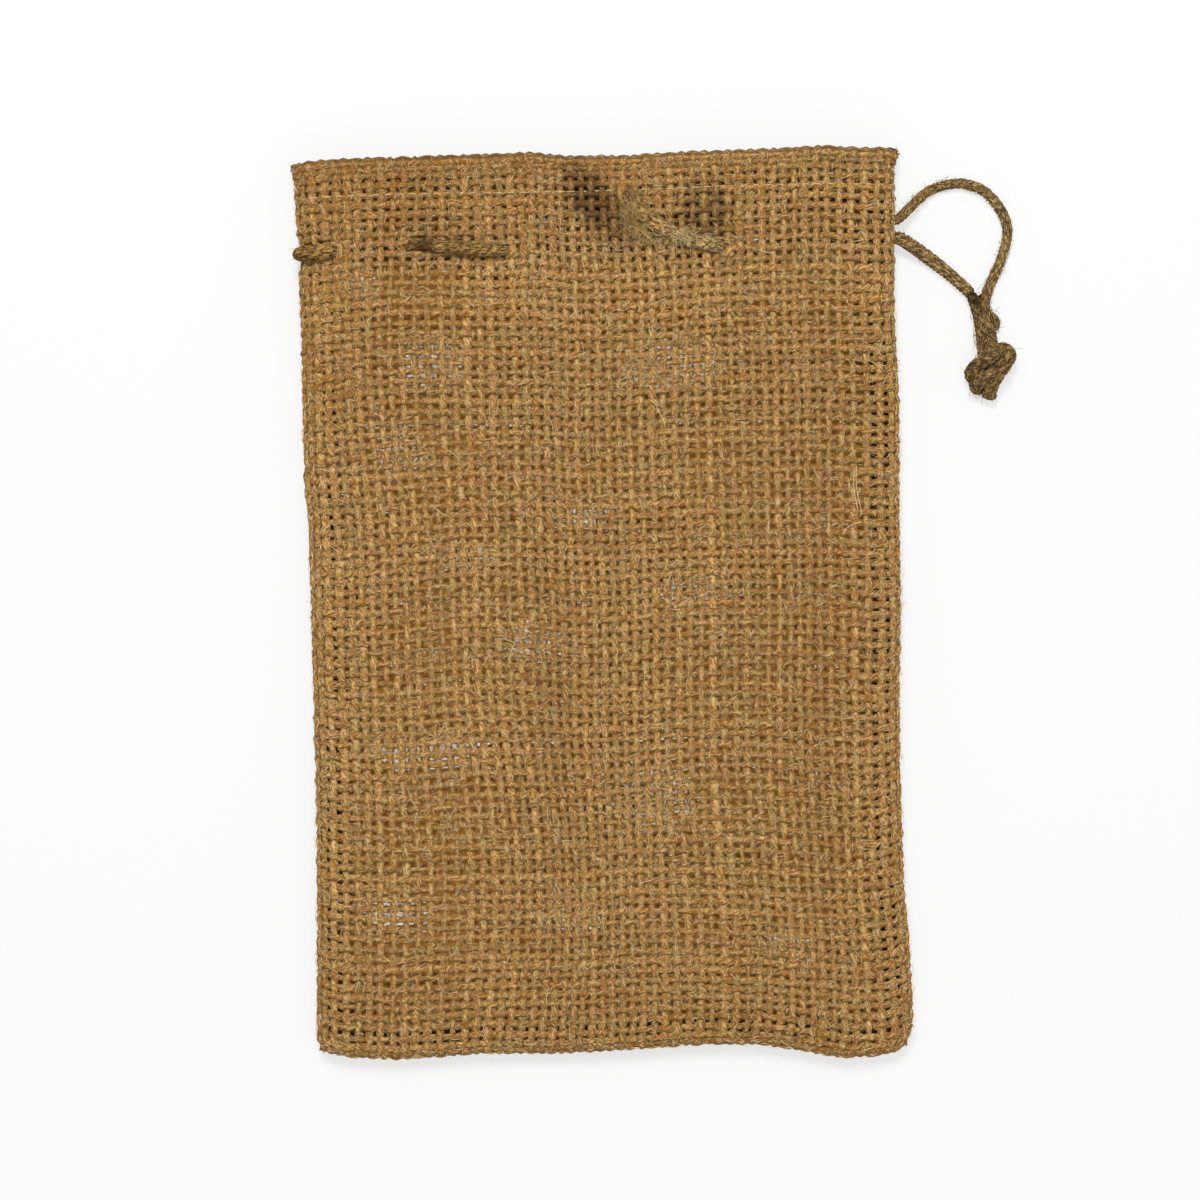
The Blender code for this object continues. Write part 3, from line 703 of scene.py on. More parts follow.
def tubes_mesh(name, bundles):
    """One mesh of tubes. A flat grid is made for each bundle, cut into strips and bent to the rings.

    The lane map has the way along a tube in U, and in V the tube's own lane with the way round it.
    """
    made = bmesh.new()
    for number, rings in enumerate(bundles):
        count, ring_count, side_count = rings.shape[:3]
        level = Matrix.Translation((0.0, 0.0, float(number)))
        bmesh.ops.create_grid(
            made, x_segments=ring_count - 1, y_segments=count * side_count - 1, size=1.0, matrix=level
        )
    mesh = bpy.data.meshes.new(name)
    made.to_mesh(mesh)
    made.free()

    flat = np.empty(3 * len(mesh.vertices))
    mesh.vertices.foreach_get("co", flat)
    flat = flat.reshape(-1, 3)
    levels = np.round(flat[:, 2]).astype(int)
    lane_count = sum(len(rings) for rings in bundles)
    lanes, around, bent = np.empty(len(flat), int), np.empty(len(flat)), np.empty_like(flat)
    first = 0
    for number, rings in enumerate(bundles):
        count, ring_count, side_count = rings.shape[:3]
        here = levels == number
        ring = np.round((flat[here, 0] + 1.0) / 2.0 * (ring_count - 1)).astype(int)
        row = np.round((flat[here, 1] + 1.0) / 2.0 * (count * side_count - 1)).astype(int)
        lane, side = row // side_count, row % side_count
        bent[here] = rings[lane, ring, side]
        lanes[here] = lane + first
        around[here] = side / (side_count - 1)
        first += count
    bent[:, 2] = np.maximum(bent[:, 2], FLOOR_GAP)
    mesh.vertices.foreach_set("co", bent.ravel())

    corners = np.empty(len(mesh.loops), int)
    mesh.loops.foreach_get("vertex_index", corners)
    along = (flat[corners, 0] + 1.0) / 2.0
    lane_map = np.stack([along, (lanes[corners] + around[corners]) / lane_count], axis=1)
    mesh.uv_layers.new(name=LANE_MAP).data.foreach_set("uv", lane_map.ravel())

    closed = bmesh.new()
    closed.from_mesh(mesh)
    between = [face for face in closed.faces if len({lanes[vert.index] for vert in face.verts}) > 1]
    bmesh.ops.delete(closed, geom=between, context="FACES_ONLY")
    bmesh.ops.remove_doubles(closed, verts=closed.verts, dist=WELD_GAP)
    bmesh.ops.recalc_face_normals(closed, faces=closed.faces)
    closed.to_mesh(mesh)
    closed.free()
    mesh.shade_smooth()
    mesh.update()
    return mesh


def add_piece(name, bundles, material):
    """A finished piece that rides on the sack."""
    piece = bpy.data.objects.new(name, tubes_mesh(name, bundles))
    bpy.context.scene.collection.objects.link(piece)
    piece.data.materials.append(material)
    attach(piece, "root")
    return piece


# ---------------------------------------------------------------- materials
# how rough the yarns, the loose fibres, the sewing thread and the floor are, and how little they gleam
YARN_ROUGHNESS, FIBRE_ROUGHNESS, THREAD_ROUGHNESS, FLOOR_ROUGHNESS = 0.85, 0.7, 0.55, 0.9
SPECULAR = 0.12
# the light that soaks into the yarns: its share, its reach by colour and the scale of that reach
SOAKED, SOAK_RADIUS, SOAK_SCALE = 0.5, (1.0, 0.5, 0.2), 0.8 * MM
# how deep the fibres' relief is
RELIEF = 0.18 * MM
# how the fibres wind round a yarn and round the cord's plies, in turns a millimetre
YARN_TWIST, CORD_TWIST = -0.14, 0.3
# how deep the painted shade on the flanks is on the yarns, the cord and the knot
YARN_FLANK_SHADE, CORD_FLANK_SHADE, KNOT_FLANK_SHADE = 0.25, 0.55, 0.85
# how rusty the warp, the weft, the cord and the knot are
WARP_RUST, WEFT_RUST, CORD_RUST, KNOT_RUST = 0.15, 0.3, 0.15, 0.2
# how deep the stains are on the front's warp and weft, and on the back cloth and the loose fibres
WARP_STAINED, WEFT_STAINED, FAR_STAINED = 0.5, 0.85, 0.8
# what a mark keeps in the crests of the yarns, and adds on their flanks
MARK_ON_CREST, MARK_ON_FLANK = 0.55, 0.45
# painted light on the back cloth's inner side, for the light that the open weave lets into the sack: the
# part that faces up, the heights where it fades out, and the places along the sack from which it fades
# towards the mouth, to a last share
INNER_LIGHT_FACING = (-0.1, 0.6)
INNER_LIGHT_HEIGHTS = (2.0 * MM, 2.8 * MM)
INNER_LIGHT_LENGTHS = (60.0 * MM, 67.0 * MM)
INNER_LIGHT_AT_MOUTH = 0.15
# painted shade low on the front cloth's round sides, in its deep colour: from which height up it fades out,
# its share
SIDE_SHADE_HEIGHTS = (4.2 * MM, 7.0 * MM)
SIDE_SHADE_SHARE = 0.4
# painted shade along the rim of the mouth, where the cloth folds inwards: where along the sack it begins,
# the part that faces out, its share
RIM_SHADE_LENGTHS = (73.0 * MM, 75.0 * MM)
RIM_SHADE_FACING = (0.25, 0.8)
RIM_SHADE_SHARE = 0.8
# a loose fibre's deep colour against its pale one, and the scale and range of the change between
FIBRE_DEEP = 0.55
FIBRE_SCALE = 900.0
FIBRE_RANGE = (0.3, 0.7)
# the length of a strand of the knot, by which its fibres are laid out
KNOT_STRAND = 16.0 * MM


class Nodes:
    """A node tree with short calls to add and link nodes."""

    def __init__(self, tree):
        self.tree = tree

    def add(self, kind, inputs=(), **settings):
        made = self.tree.nodes.new(kind)
        for key, value in settings.items():
            setattr(made, key, value)
        for key, value in dict(inputs).items():
            if isinstance(value, bpy.types.NodeSocket):
                self.tree.links.new(value, made.inputs[key])
            else:
                made.inputs[key].default_value = value
        return made

    def math(self, operation, first, second=0.0, third=0.0):
        inputs = {0: first, 1: second, 2: third}
        return self.add("ShaderNodeMath", inputs, operation=operation).outputs[0]

    def vector(self, x, y, z):
        return self.add("ShaderNodeCombineXYZ", {0: x, 1: y, 2: z}).outputs[0]

    def mix(self, share, first, second, blend="MIX"):
        made = self.add(
            "ShaderNodeMix", {0: share, 6: first, 7: second}, data_type="RGBA", blend_type=blend
        )
        return made.outputs[2]

    def noise(self, vector, scale, detail=2.0, roughness=0.6):
        inputs = {"Vector": vector, "Scale": scale, "Detail": detail, "Roughness": roughness}
        return self.add("ShaderNodeTexNoise", inputs).outputs[0]

    def spread(self, value, low, high, to_low=0.0, to_high=1.0):
        inputs = {0: value, 1: low, 2: high, 3: to_low, 4: to_high}
        return self.add("ShaderNodeMapRange", inputs, clamp=True).outputs[0]


def new_group(name, inputs, outputs):
    """An empty shader group with its named sockets, and the nodes that hold them."""
    group = bpy.data.node_groups.new(name, "ShaderNodeTree")
    for title, kind, default in inputs:
        socket = group.interface.new_socket(title, in_out="INPUT", socket_type=kind)
        socket.default_value = default
    for title, kind in outputs:
        group.interface.new_socket(title, in_out="OUTPUT", socket_type=kind)
    nodes = Nodes(group)
    return group, nodes, nodes.add("NodeGroupInput").outputs, nodes.add("NodeGroupOutput")


# the streaks of twisted fibres: how often they change a millimetre along and in a turn round the
# yarn, their shift from lane to lane, their detail, and their share in the tone
COARSE_STREAKS = (0.8, 7.0, 7.31, 2.0, 0.25)
FINE_STREAKS = (1.8, 16.0, 3.17, 3.0, 0.75)
TONE_RANGE = (0.43, 0.57)
# where round a yarn its crest lies, and where its flanks begin and are full, as shares of a turn
CREST = 0.42
FLANK_RANGE = (0.06, 0.28)
# the rusty stretches: how often they change a millimetre along, their shift from lane to lane,
# where in the noise they begin and are full, and what they keep of the yarn's own colour
RUST_STRETCHES, RUST_SHIFT = 0.09, 5.7
RUST_RANGE = (0.47, 0.68)
RUST_BLEND = 0.45
# how far the yarns' brightness differs from one to the next
DYE_RANGE = (0.88, 1.1)


def spun_fibre_group():
    """Fibres twisted along a yarn, from its lane map."""
    group, nodes, given, out = new_group(
        "Spun Fibre",
        [
            ("Lane Map", "NodeSocketVector", (0.0, 0.0, 0.0)),
            ("Lanes", "NodeSocketFloat", 50.0),
            ("Length", "NodeSocketFloat", 170.0),
            ("Twist", "NodeSocketFloat", 0.25),
            ("Pale", "NodeSocketColor", (1.0, 1.0, 1.0, 1.0)),
            ("Deep", "NodeSocketColor", (0.0, 0.0, 0.0, 1.0)),
            ("Rust", "NodeSocketColor", (0.5, 0.2, 0.05, 1.0)),
            ("Rust Share", "NodeSocketFloat", 0.5),
            ("Flanks", "NodeSocketFloat", 0.4),
        ],
        [("Colour", "NodeSocketColor"), ("Relief", "NodeSocketFloat"), ("Flank", "NodeSocketFloat")],
    )
    parts = nodes.add("ShaderNodeSeparateXYZ", {0: given["Lane Map"]}).outputs
    along = nodes.math("MULTIPLY", parts[0], given["Length"])
    in_lanes = nodes.math("MULTIPLY", parts[1], given["Lanes"])
    lane = nodes.math("FLOOR", in_lanes)
    around = nodes.math("SUBTRACT", in_lanes, lane)
    helix = nodes.math("MULTIPLY_ADD", along, given["Twist"], around)

    def streaks(per_length, per_turn, shift, detail):
        place = nodes.vector(
            nodes.math("MULTIPLY", along, per_length),
            nodes.math("MULTIPLY", helix, per_turn),
            nodes.math("MULTIPLY", lane, shift),
        )
        return nodes.noise(place, 1.0, detail)

    *coarse_pattern, coarse_share = COARSE_STREAKS
    *fine_pattern, fine_share = FINE_STREAKS
    coarse = nodes.math("MULTIPLY", streaks(*coarse_pattern), coarse_share)
    tone = nodes.math("MULTIPLY_ADD", streaks(*fine_pattern), fine_share, coarse)
    tone = nodes.spread(tone, *TONE_RANGE)
    colour = nodes.mix(tone, given["Deep"], given["Pale"])

    # painted shade: the flanks of each yarn or ply, away from its crest, turn to the deep colour
    off_crest = nodes.math("ABSOLUTE", nodes.math("SUBTRACT", around, CREST))
    off_crest = nodes.spread(off_crest, *FLANK_RANGE)
    flank = nodes.math("MULTIPLY", off_crest, given["Flanks"])
    colour = nodes.mix(flank, colour, given["Deep"])

    stretch_place = nodes.vector(
        nodes.math("MULTIPLY", along, RUST_STRETCHES), 0.5, nodes.math("MULTIPLY", lane, RUST_SHIFT)
    )
    stretch = nodes.spread(nodes.noise(stretch_place, 1.0, 3.0), *RUST_RANGE)
    rusty = nodes.math("MULTIPLY", stretch, given["Rust Share"])
    colour = nodes.mix(rusty, colour, nodes.mix(RUST_BLEND, given["Rust"], colour))
    dye = nodes.add("ShaderNodeTexWhiteNoise", {"W": lane}, noise_dimensions="1D").outputs[0]
    dye = nodes.spread(dye, 0.0, 1.0, *DYE_RANGE)
    dye = nodes.add("ShaderNodeCombineColor", {0: dye, 1: dye, 2: dye}).outputs[0]
    colour = nodes.mix(1.0, colour, dye, "MULTIPLY")
    nodes.tree.links.new(colour, out.inputs["Colour"])
    nodes.tree.links.new(tone, out.inputs["Relief"])
    nodes.tree.links.new(off_crest, out.inputs["Flank"])
    return group


# the scale of a blot's ragged edge, and where it begins and is full, as shares of its reach
BLOT_SCALE = 620.0
BLOT_EDGE = (1.0, 0.5)


def blot_group():
    """A ragged blot on the sack: 1 in its middle and 0 outside."""
    group, nodes, given, out = new_group(
        "Blot",
        [
            ("Place", "NodeSocketVector", (0.0, 0.0, 0.0)),
            ("Middle", "NodeSocketVector", (0.0, 0.0, 0.0)),
            ("Reach X", "NodeSocketFloat", 0.01),
            ("Reach Y", "NodeSocketFloat", 0.01),
            ("Slant", "NodeSocketFloat", 0.0),
            ("Ragged", "NodeSocketFloat", 0.4),
        ],
        [("Mask", "NodeSocketFloat")],
    )
    offset = nodes.add(
        "ShaderNodeVectorMath", {0: given["Place"], 1: given["Middle"]}, operation="SUBTRACT"
    ).outputs[0]
    parts = nodes.add("ShaderNodeSeparateXYZ", {0: offset}).outputs
    leaning = nodes.math("SUBTRACT", parts[0], nodes.math("MULTIPLY", parts[1], given["Slant"]))
    x = nodes.math("DIVIDE", leaning, given["Reach X"])
    y = nodes.math("DIVIDE", parts[1], given["Reach Y"])
    squares = nodes.math("ADD", nodes.math("POWER", x, 2.0), nodes.math("POWER", y, 2.0))
    distance = nodes.math("SQRT", squares)
    ragged = nodes.noise(given["Place"], BLOT_SCALE, 3.0)
    ragged = nodes.math("MULTIPLY", nodes.math("SUBTRACT", ragged, 0.5), given["Ragged"])
    mask = nodes.spread(nodes.math("ADD", distance, ragged), *BLOT_EDGE)
    nodes.tree.links.new(mask, out.inputs["Mask"])
    return group


def group_node(nodes, name, make, inputs):
    group = bpy.data.node_groups.get(name) or make()
    return nodes.add("ShaderNodeGroup", inputs, node_tree=group)


def new_material(name, roughness):
    """A plain material with its nodes and its shader."""
    material = bpy.data.materials.new(name)
    material.use_nodes = True
    shader = material.node_tree.nodes["Principled BSDF"]
    shader.inputs["Roughness"].default_value = roughness
    shader.inputs["Specular IOR Level"].default_value = SPECULAR
    return material, Nodes(material.node_tree), shader


# the dark places of the burlap: x, y, half width, half height, slant, strength
STAINS = [
    (-0.8, 67.2, 5.0, 9.6, -0.55, 1.0),
    (-2.2, 68.0, 6.0, 4.4, -0.2, 0.8),
    (17.6, 66.2, 5.6, 6.6, 0.0, 0.9),
]
# broad patches of painted shade on the front cloth, darker and warmer, such as in its shallow troughs and
# along
# the rim of the mouth: x, y, half width, half height, slant, strength
PAINTED_SHADES = [
    (-8.5, -20.0, 5.0, 46.0, -0.05, 0.24),
    (38.0, -14.0, 6.0, 62.0, 0.0, 0.2),
    (-36.0, -66.0, 14.0, 10.0, 0.0, 0.2),
    (-30.0, 73.0, 30.0, 5.0, 0.0, 0.2),
    (-46.0, 58.0, 26.0, 46.0, 0.0, 0.27),
    (-20.0, 71.0, 60.0, 13.0, 0.0, 0.27),
    (0.0, -66.0, 110.0, 16.0, 0.0, 0.1),
    (36.0, 20.0, 18.0, 50.0, 0.0, 0.12),
    (8.0, -70.0, 40.0, 9.0, 0.0, 0.14),
    (-36.0, 76.3, 26.0, 1.7, 0.0, 0.8),
    (-6.0, 77.4, 26.0, 1.7, 0.0, 0.8),
    (30.0, 78.5, 34.0, 1.9, 0.0, 0.8),
]
# the drawstring's yellower stretches, its painted shade where it dives into the cloth and where its strands
# run into the knot, and its painted highlight on top of the stitch on the right: x, y, half width, half
# height, slant, strength
CORD_WARM = [
    (-24.5, 60.0, 12.0, 5.0, 0.0, 1.0),
    (-49.5, 59.4, 6.0, 5.0, 0.0, 1.0),
    (5.0, 66.0, 6.0, 7.0, 0.0, 0.7),
]
CORD_SHADE = [(-30.0, 60.4, 2.6, 3.0, 0.0, 0.8), (63.9, 52.4, 1.7, 2.3, 0.0, 1.0)]
CORD_HIGHLIGHT = [(14.0, 62.0, 10.0, 4.0, 0.0, 1.0)]
WARM_TINT = (1.0, 0.9, 0.66, 1.0)
SHADE_TINT = (0.42, 0.38, 0.3, 1.0)
HIGHLIGHT_TINT = (1.4, 1.45, 1.6, 1.0)
CORD_MARKS = [(CORD_WARM, WARM_TINT, 1.0), (CORD_SHADE, SHADE_TINT, 1.0), (CORD_HIGHLIGHT, HIGHLIGHT_TINT, 1.0)]


def marked(nodes, colour, place, marks, depth=1.0, blend="MIX"):
    """A colour with marks on it: tables of places, each with its tint and share."""
    flat = nodes.add(
        "ShaderNodeVectorMath", {0: place, 1: (1.0, 1.0, 0.0)}, operation="MULTIPLY"
    ).outputs[0]
    for table, tint, share in marks:
        for x, y, reach_x, reach_y, slant, strength in table:
            mask = group_node(nodes, "Blot", blot_group, {
                "Place": flat, "Middle": (x * MM, y * MM, 0.0), "Reach X": reach_x * MM,
                "Reach Y": reach_y * MM, "Slant": slant, "Ragged": 1.0,
            }).outputs[0]
            mask = nodes.math("MULTIPLY", mask, nodes.math("MULTIPLY", depth, share * strength))
            colour = nodes.mix(mask, colour, tuple(tint), blend)
    return colour


def yarn_material(name, lanes, length, pale, deep, weave, rust_share, twist, flanks, marks, outward=0):
    """Spun jute with its marks: of the front cloth (outward 1), the back cloth (-1) or the cord (0).

    The light that the open weave lets into the sack is drawn as a paler inner side of the back.
    """
    material, nodes, shader = new_material(name, YARN_ROUGHNESS)
    shader.inputs["Subsurface Weight"].default_value = SOAKED
    shader.inputs["Subsurface Radius"].default_value = SOAK_RADIUS
    shader.inputs["Subsurface Scale"].default_value = SOAK_SCALE
    lane_map = nodes.add("ShaderNodeUVMap", uv_map=LANE_MAP).outputs[0]
    fibre = group_node(nodes, "Spun Fibre", spun_fibre_group, {
        "Lane Map": lane_map, "Lanes": float(lanes), "Length": length / MM, "Twist": twist,
        "Pale": pale, "Deep": deep, "Rust": weave.rust, "Rust Share": rust_share, "Flanks": flanks,
    }).outputs
    colour = fibre["Colour"]
    given = nodes.add("ShaderNodeTexCoord").outputs
    place = given["Object"]
    _, along, height = nodes.add("ShaderNodeSeparateXYZ", {0: place}).outputs
    _, facing_mouth, facing_up = nodes.add("ShaderNodeSeparateXYZ", {0: given["Normal"]}).outputs
    if outward < 0:
        # painted light on the back cloth's upward inner side
        inner = nodes.spread(facing_up, *INNER_LIGHT_FACING, 0.0, weave.inner_light_share)
        inner = nodes.math("MULTIPLY", inner, nodes.spread(height, *INNER_LIGHT_HEIGHTS, 1.0, 0.0))
        fading = nodes.spread(along, *INNER_LIGHT_LENGTHS, 1.0, INNER_LIGHT_AT_MOUTH)
        colour = nodes.mix(nodes.math("MULTIPLY", inner, fading), colour, tuple(weave.inner))
    if outward:
        sunk = nodes.math("MULTIPLY_ADD", fibre["Flank"], MARK_ON_FLANK, MARK_ON_CREST)
        colour = marked(nodes, colour, place, marks, sunk)
    else:
        colour = marked(nodes, colour, place, marks, 1.0, "MULTIPLY")
    if outward > 0:
        # painted shade low on the round sides of the front cloth
        side = nodes.spread(height, *SIDE_SHADE_HEIGHTS, SIDE_SHADE_SHARE, 0.0)
        colour = nodes.mix(side, colour, tuple(deep))
        # painted shade along the rim of the mouth, on the fold's face towards the mouth
        rim = nodes.math("MULTIPLY", nodes.spread(along, *RIM_SHADE_LENGTHS), RIM_SHADE_SHARE)
        rim = nodes.math("MULTIPLY", rim, nodes.spread(facing_mouth, *RIM_SHADE_FACING))
        colour = nodes.mix(rim, colour, tuple(weave.rim_shade_colour))
    nodes.tree.links.new(colour, shader.inputs["Base Color"])
    relief = nodes.add("ShaderNodeBump", {
        "Strength": 1.0, "Distance": RELIEF, "Height": fibre["Relief"],
    }).outputs[0]
    nodes.tree.links.new(relief, shader.inputs["Normal"])
    return material


def fibre_material(name, colour, roughness, marks=(), blend="MIX"):
    """Single fibres or a thin thread, a little uneven along the sack."""
    material, nodes, shader = new_material(name, roughness)
    place = nodes.add("ShaderNodeTexCoord").outputs["Object"]
    tone = nodes.spread(nodes.noise(place, FIBRE_SCALE, 2.0), *FIBRE_RANGE)
    pale = tuple(colour)
    deep = tuple(FIBRE_DEEP * part for part in pale[:3]) + (1.0,)
    mixed = marked(nodes, nodes.mix(tone, deep, pale), place, marks, 1.0, blend)
    nodes.tree.links.new(mixed, shader.inputs["Base Color"])
    return material


# ---------------------------------------------------------------- the thread, the cord and the fibres
# the hem's thread: its inset from the seams, the parts of one stitch, where below the hem's edge and
# how often its place is sought, its lift off the cloth, how deep and sharply it dips between
# stitches, how deep it sinks by chance and over how many stitches, and its sides
THREAD_INSET = 0.4 * MM
THREAD_PARTS = 8
THREAD_START, THREAD_TRIES = 3.0 * MM, 4
THREAD_LIFT = 0.04 * MM
THREAD_DIP, DIP_POWER = 0.75 * MM, 3
THREAD_SUNK, SUNK_STITCHES = 0.45 * MM, 2.0
THREAD_SIDES = 5
# the loose threads: how often their places are sought, their lift, and half their width in fibres
LOOSE_TRIES = 6
LOOSE_LIFT = 0.02 * MM
LOOSE_WIDTH = 0.8
# a fibre's length, lift and width by chance, against what its kind says, the power that makes short
# ones more frequent, how soon its hump ends, and its sides
FIBRE_LENGTHS, LENGTH_POWER = (0.35, 1.0), 1.5
FIBRE_LIFTS = (0.1, 1.0)
FIBRE_WIDTHS = (0.6, 1.2)
HUMP_SPEED = 1.15
FIBRE_SIDES = 3
# how deep in the cloth the fibres start, against what their kind says
START_RANGE = (0.4, 1.0)
# in the sheer places: the places tried for each fibre, the strength from which one counts, and how
# much fuller the fibres are
SHEER_TRIES, SHEER_EDGE = 20, 0.05
SHEER_FULLNESS = 1.5
# reach, lift and curl of the fibres on the drawstring and of the frayed ones; how the former stray
CORD_FUZZ = (2.6 * MM, 0.08 * MM, 0.7)
FRAY_FUZZ = (3.2 * MM, 0.35 * MM, 1.8)
CORD_STRAY = 0.5


def thread_tubes(cloth, trim, rng):
    """The hem's lockstitch on one cloth: a row of stitches that dip into the cloth at their ends."""
    line = np.array(THREAD_LINE) * MM
    across = np.arange(THREAD_INSET, cloth.across - THREAD_INSET, trim.stitch_length / THREAD_PARTS)
    along = np.full_like(across, cloth.fold_at - THREAD_START)
    for _ in range(THREAD_TRIES):
        here = cloth.lay(across, along)
        along = along + np.interp(here[:, 0], line[:, 0], line[:, 1]) - here[:, 1]
    places, faces = cloth.lay_with_faces(across[None, :], along[None, :])
    phase = across / trim.stitch_length
    ride = cloth.thickness / 2 + THREAD_LIFT
    dip = THREAD_DIP * np.abs(np.cos(np.pi * phase)) ** DIP_POWER
    sunk = THREAD_SUNK * np.maximum(soft_noise(rng, 1, phase, SUNK_STITCHES)[0], 0.0)
    places = places + faces * (ride - sunk - dip)[None, :, None]
    width = np.full(places.shape[:2], trim.thread_width / 2)
    return tube_rings(places, faces, width, width, THREAD_SIDES)


def ply_tubes(way, length, radius, trim, swell=((0.0, 1.0),)):
    """The plies of a twisted cord round its line."""
    scale = radius / (CORD_DIAMETER / 2)
    start = way[0] + CORD_RUN_ON * (way[0] - way[1])
    end = way[-1] + CORD_RUN_ON * (way[-1] - way[-2])
    way = np.vstack([start, way, end])
    course = unit(np.gradient(way, axis=0))
    beside = unit(np.cross(course, (0.0, 0.0, 1.0)))
    upright = np.cross(beside, course)
    run = np.linspace(0.0, length, len(way))
    table = np.array(swell)
    swelling = np.interp(run / MM, table[:, 0], table[:, 1])
    ply_radius = trim.ply_width / 2 * scale
    places, faces = [], []
    for ply in range(CORD_PLIES):
        turn = math.tau * (run / (CORD_LAY * scale) + ply / CORD_PLIES)
        out = beside * np.cos(turn)[:, None] + upright * np.sin(turn)[:, None]
        places.append(way + out * ((radius - ply_radius) * swelling)[:, None])
        faces.append(out)
    places, faces = np.array(places), np.array(faces)
    width = ply_radius * np.tile(swelling, (CORD_PLIES, 1))
    return tube_rings(places, faces, PLY_FLATNESS * width, width, CORD_SIDES)


def loose_fibres(starts, faces, heading, trim, rng, reach, lift, curl, steps=3, fullness=1.0):
    """Curved single fibres that leave a surface and come back to it, or stand off it at one end."""
    count = len(starts)
    side = unit(np.cross(faces, np.cross(heading, faces)))
    bend = np.cross(faces, side)
    length = reach * rng.uniform(*FIBRE_LENGTHS, count) ** LENGTH_POWER
    curl = curl * rng.uniform(-1.0, 1.0, count)
    run = np.linspace(0.0, 1.0, steps + 1)
    turn = curl[:, None] * run
    forward = length[:, None] * run * np.cos(turn / 2)
    sideways = length[:, None] * run * np.sin(turn / 2)
    humped = np.sin(np.pi * np.minimum(run * HUMP_SPEED, 1.0))
    hump = lift * rng.uniform(*FIBRE_LIFTS, (count, 1)) * humped
    places = (starts[:, None, :] + side[:, None, :] * forward[..., None]
              + bend[:, None, :] * sideways[..., None] + faces[:, None, :] * hump[..., None])
    width = np.full(places.shape[:2], trim.fibre_width / 2)
    width = width * rng.uniform(*FIBRE_WIDTHS, (count, 1)) * fullness
    faces = np.repeat(faces[:, None, :], steps + 1, axis=1)
    return tube_rings(places, faces, width, width, FIBRE_SIDES)


def scattered(cloth, rng, number, inset, sheer_only):
    """Places spread by chance over a cloth with their faces, or in its sheer places only."""
    tries = number * (SHEER_TRIES if sheer_only else 1)
    across = rng.uniform(inset, cloth.across - inset, tries)
    along = rng.uniform(inset, cloth.fold_at - inset, tries)
    places, faces = cloth.lay_with_faces(across, along)
    if sheer_only:
        sheer = over_places(SHEER_PLACES, places[:, 0], places[:, 1]) > SHEER_EDGE
        chosen = np.flatnonzero(sheer)[:number]
        places, faces = places[chosen], faces[chosen]
    return places, faces


def strayed(rng, number, stray):
    """Headings along the warp or the weft, with the lean of the spun fibres and a stray by chance."""
    turn = np.where(rng.uniform(size=number) < 0.5, 0.0, np.pi / 2)
    turn = turn + FIBRE_LEAN + stray * rng.standard_normal(number)
    return np.stack([np.cos(turn), np.sin(turn), np.zeros(number)], axis=1)


def loose_thread(cloth, points, trim):
    """One thread that lies on top of the cloth along points of the sack."""
    way, _ = smooth_route([(x, y, 0.0) for x, y in points], ROUTE_STEP)
    across, along = way[:, 0] + cloth.across / 2, way[:, 1] + cloth.fold_at / 2
    for _ in range(LOOSE_TRIES):
        here = cloth.lay(across, along)
        across, along = across + way[:, 0] - here[:, 0], along + way[:, 1] - here[:, 1]
    places, faces = cloth.lay_with_faces(across[None, :], along[None, :])
    places = places + faces * (cloth.thickness / 2 + LOOSE_LIFT)
    width = np.full(places.shape[:2], LOOSE_WIDTH * trim.fibre_width)
    return tube_rings(places, faces, width, width, FIBRE_SIDES)


def frayed_fibres(middle, reach, number, trim, rng):
    """A soft tuft of fibres over a frayed stretch of the drawstring on the front cloth."""
    spread = FRAY_SPREAD * rng.standard_normal((number, 2))
    x, y = ((np.array(middle) + np.array(reach) * spread) * MM).T
    top = MOUTH_HEIGHT + FRAY_HEIGHT * (1.0 - np.minimum((spread**2).sum(axis=1), 1.0))
    turn = FRAY_HEADING + FRAY_STRAY * rng.standard_normal(number)
    heading = np.stack([np.cos(turn), np.sin(turn), np.zeros(number)], axis=1)
    faces = np.tile((0.0, 0.0, 1.0), (number, 1))
    starts = np.stack([x, y, top], axis=1)
    return loose_fibres(starts, faces, heading, trim, rng, *FRAY_FUZZ)


# ---------------------------------------------------------------- operators
def settings_of(context):
    scene = context.scene
    return scene.sack_weave, scene.sack_trim, scene.sack_stage


class SACK_OT_weave_cloths(bpy.types.Operator):
    """Weave the front and the back cloth, warp and weft"""

    bl_idname = "sack.weave_cloths"
    bl_label = "Weave Cloths"

    def execute(self, context):
        weave, _, _ = settings_of(context)
        for name, outward, seed in CLOTHS:
            cloth = Cloth(outward, weave)
            steps = weave.steps if outward > 0 else weave.back_steps
            woven = Weave(cloth, weave, np.random.default_rng(seed), steps)
            flat = (cloth.across + 2 * weave.allowance, cloth.along + weave.allowance)
            for way, is_warp, pale, deep, rust_share, length, stained in (
                ("warp", True, weave.warp_pale, weave.warp_deep, WARP_RUST, flat[1], WARP_STAINED),
                ("weft", False, weave.weft_pale, weave.weft_deep, WEFT_RUST, flat[0], WEFT_STAINED),
            ):
                if outward > 0:
                    # painted shade on the front cloth in the weft's deep colour, and its real stains
                    marks = [(PAINTED_SHADES, weave.weft_deep, 1.0), (STAINS, weave.stain, stained)]
                else:
                    marks = [(STAINS, weave.stain, FAR_STAINED)]
                bundles = woven.all_yarns(is_warp)
                lanes = sum(len(rings) for rings in bundles)
                material = yarn_material(
                    f"burlap {name} {way}", lanes, length, pale, deep, weave, rust_share, YARN_TWIST,
                    YARN_FLANK_SHADE, marks, outward,
                )
                add_piece(f"{name}_{way}", bundles, material)
                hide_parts(f"sack_{name}")
        return {"FINISHED"}


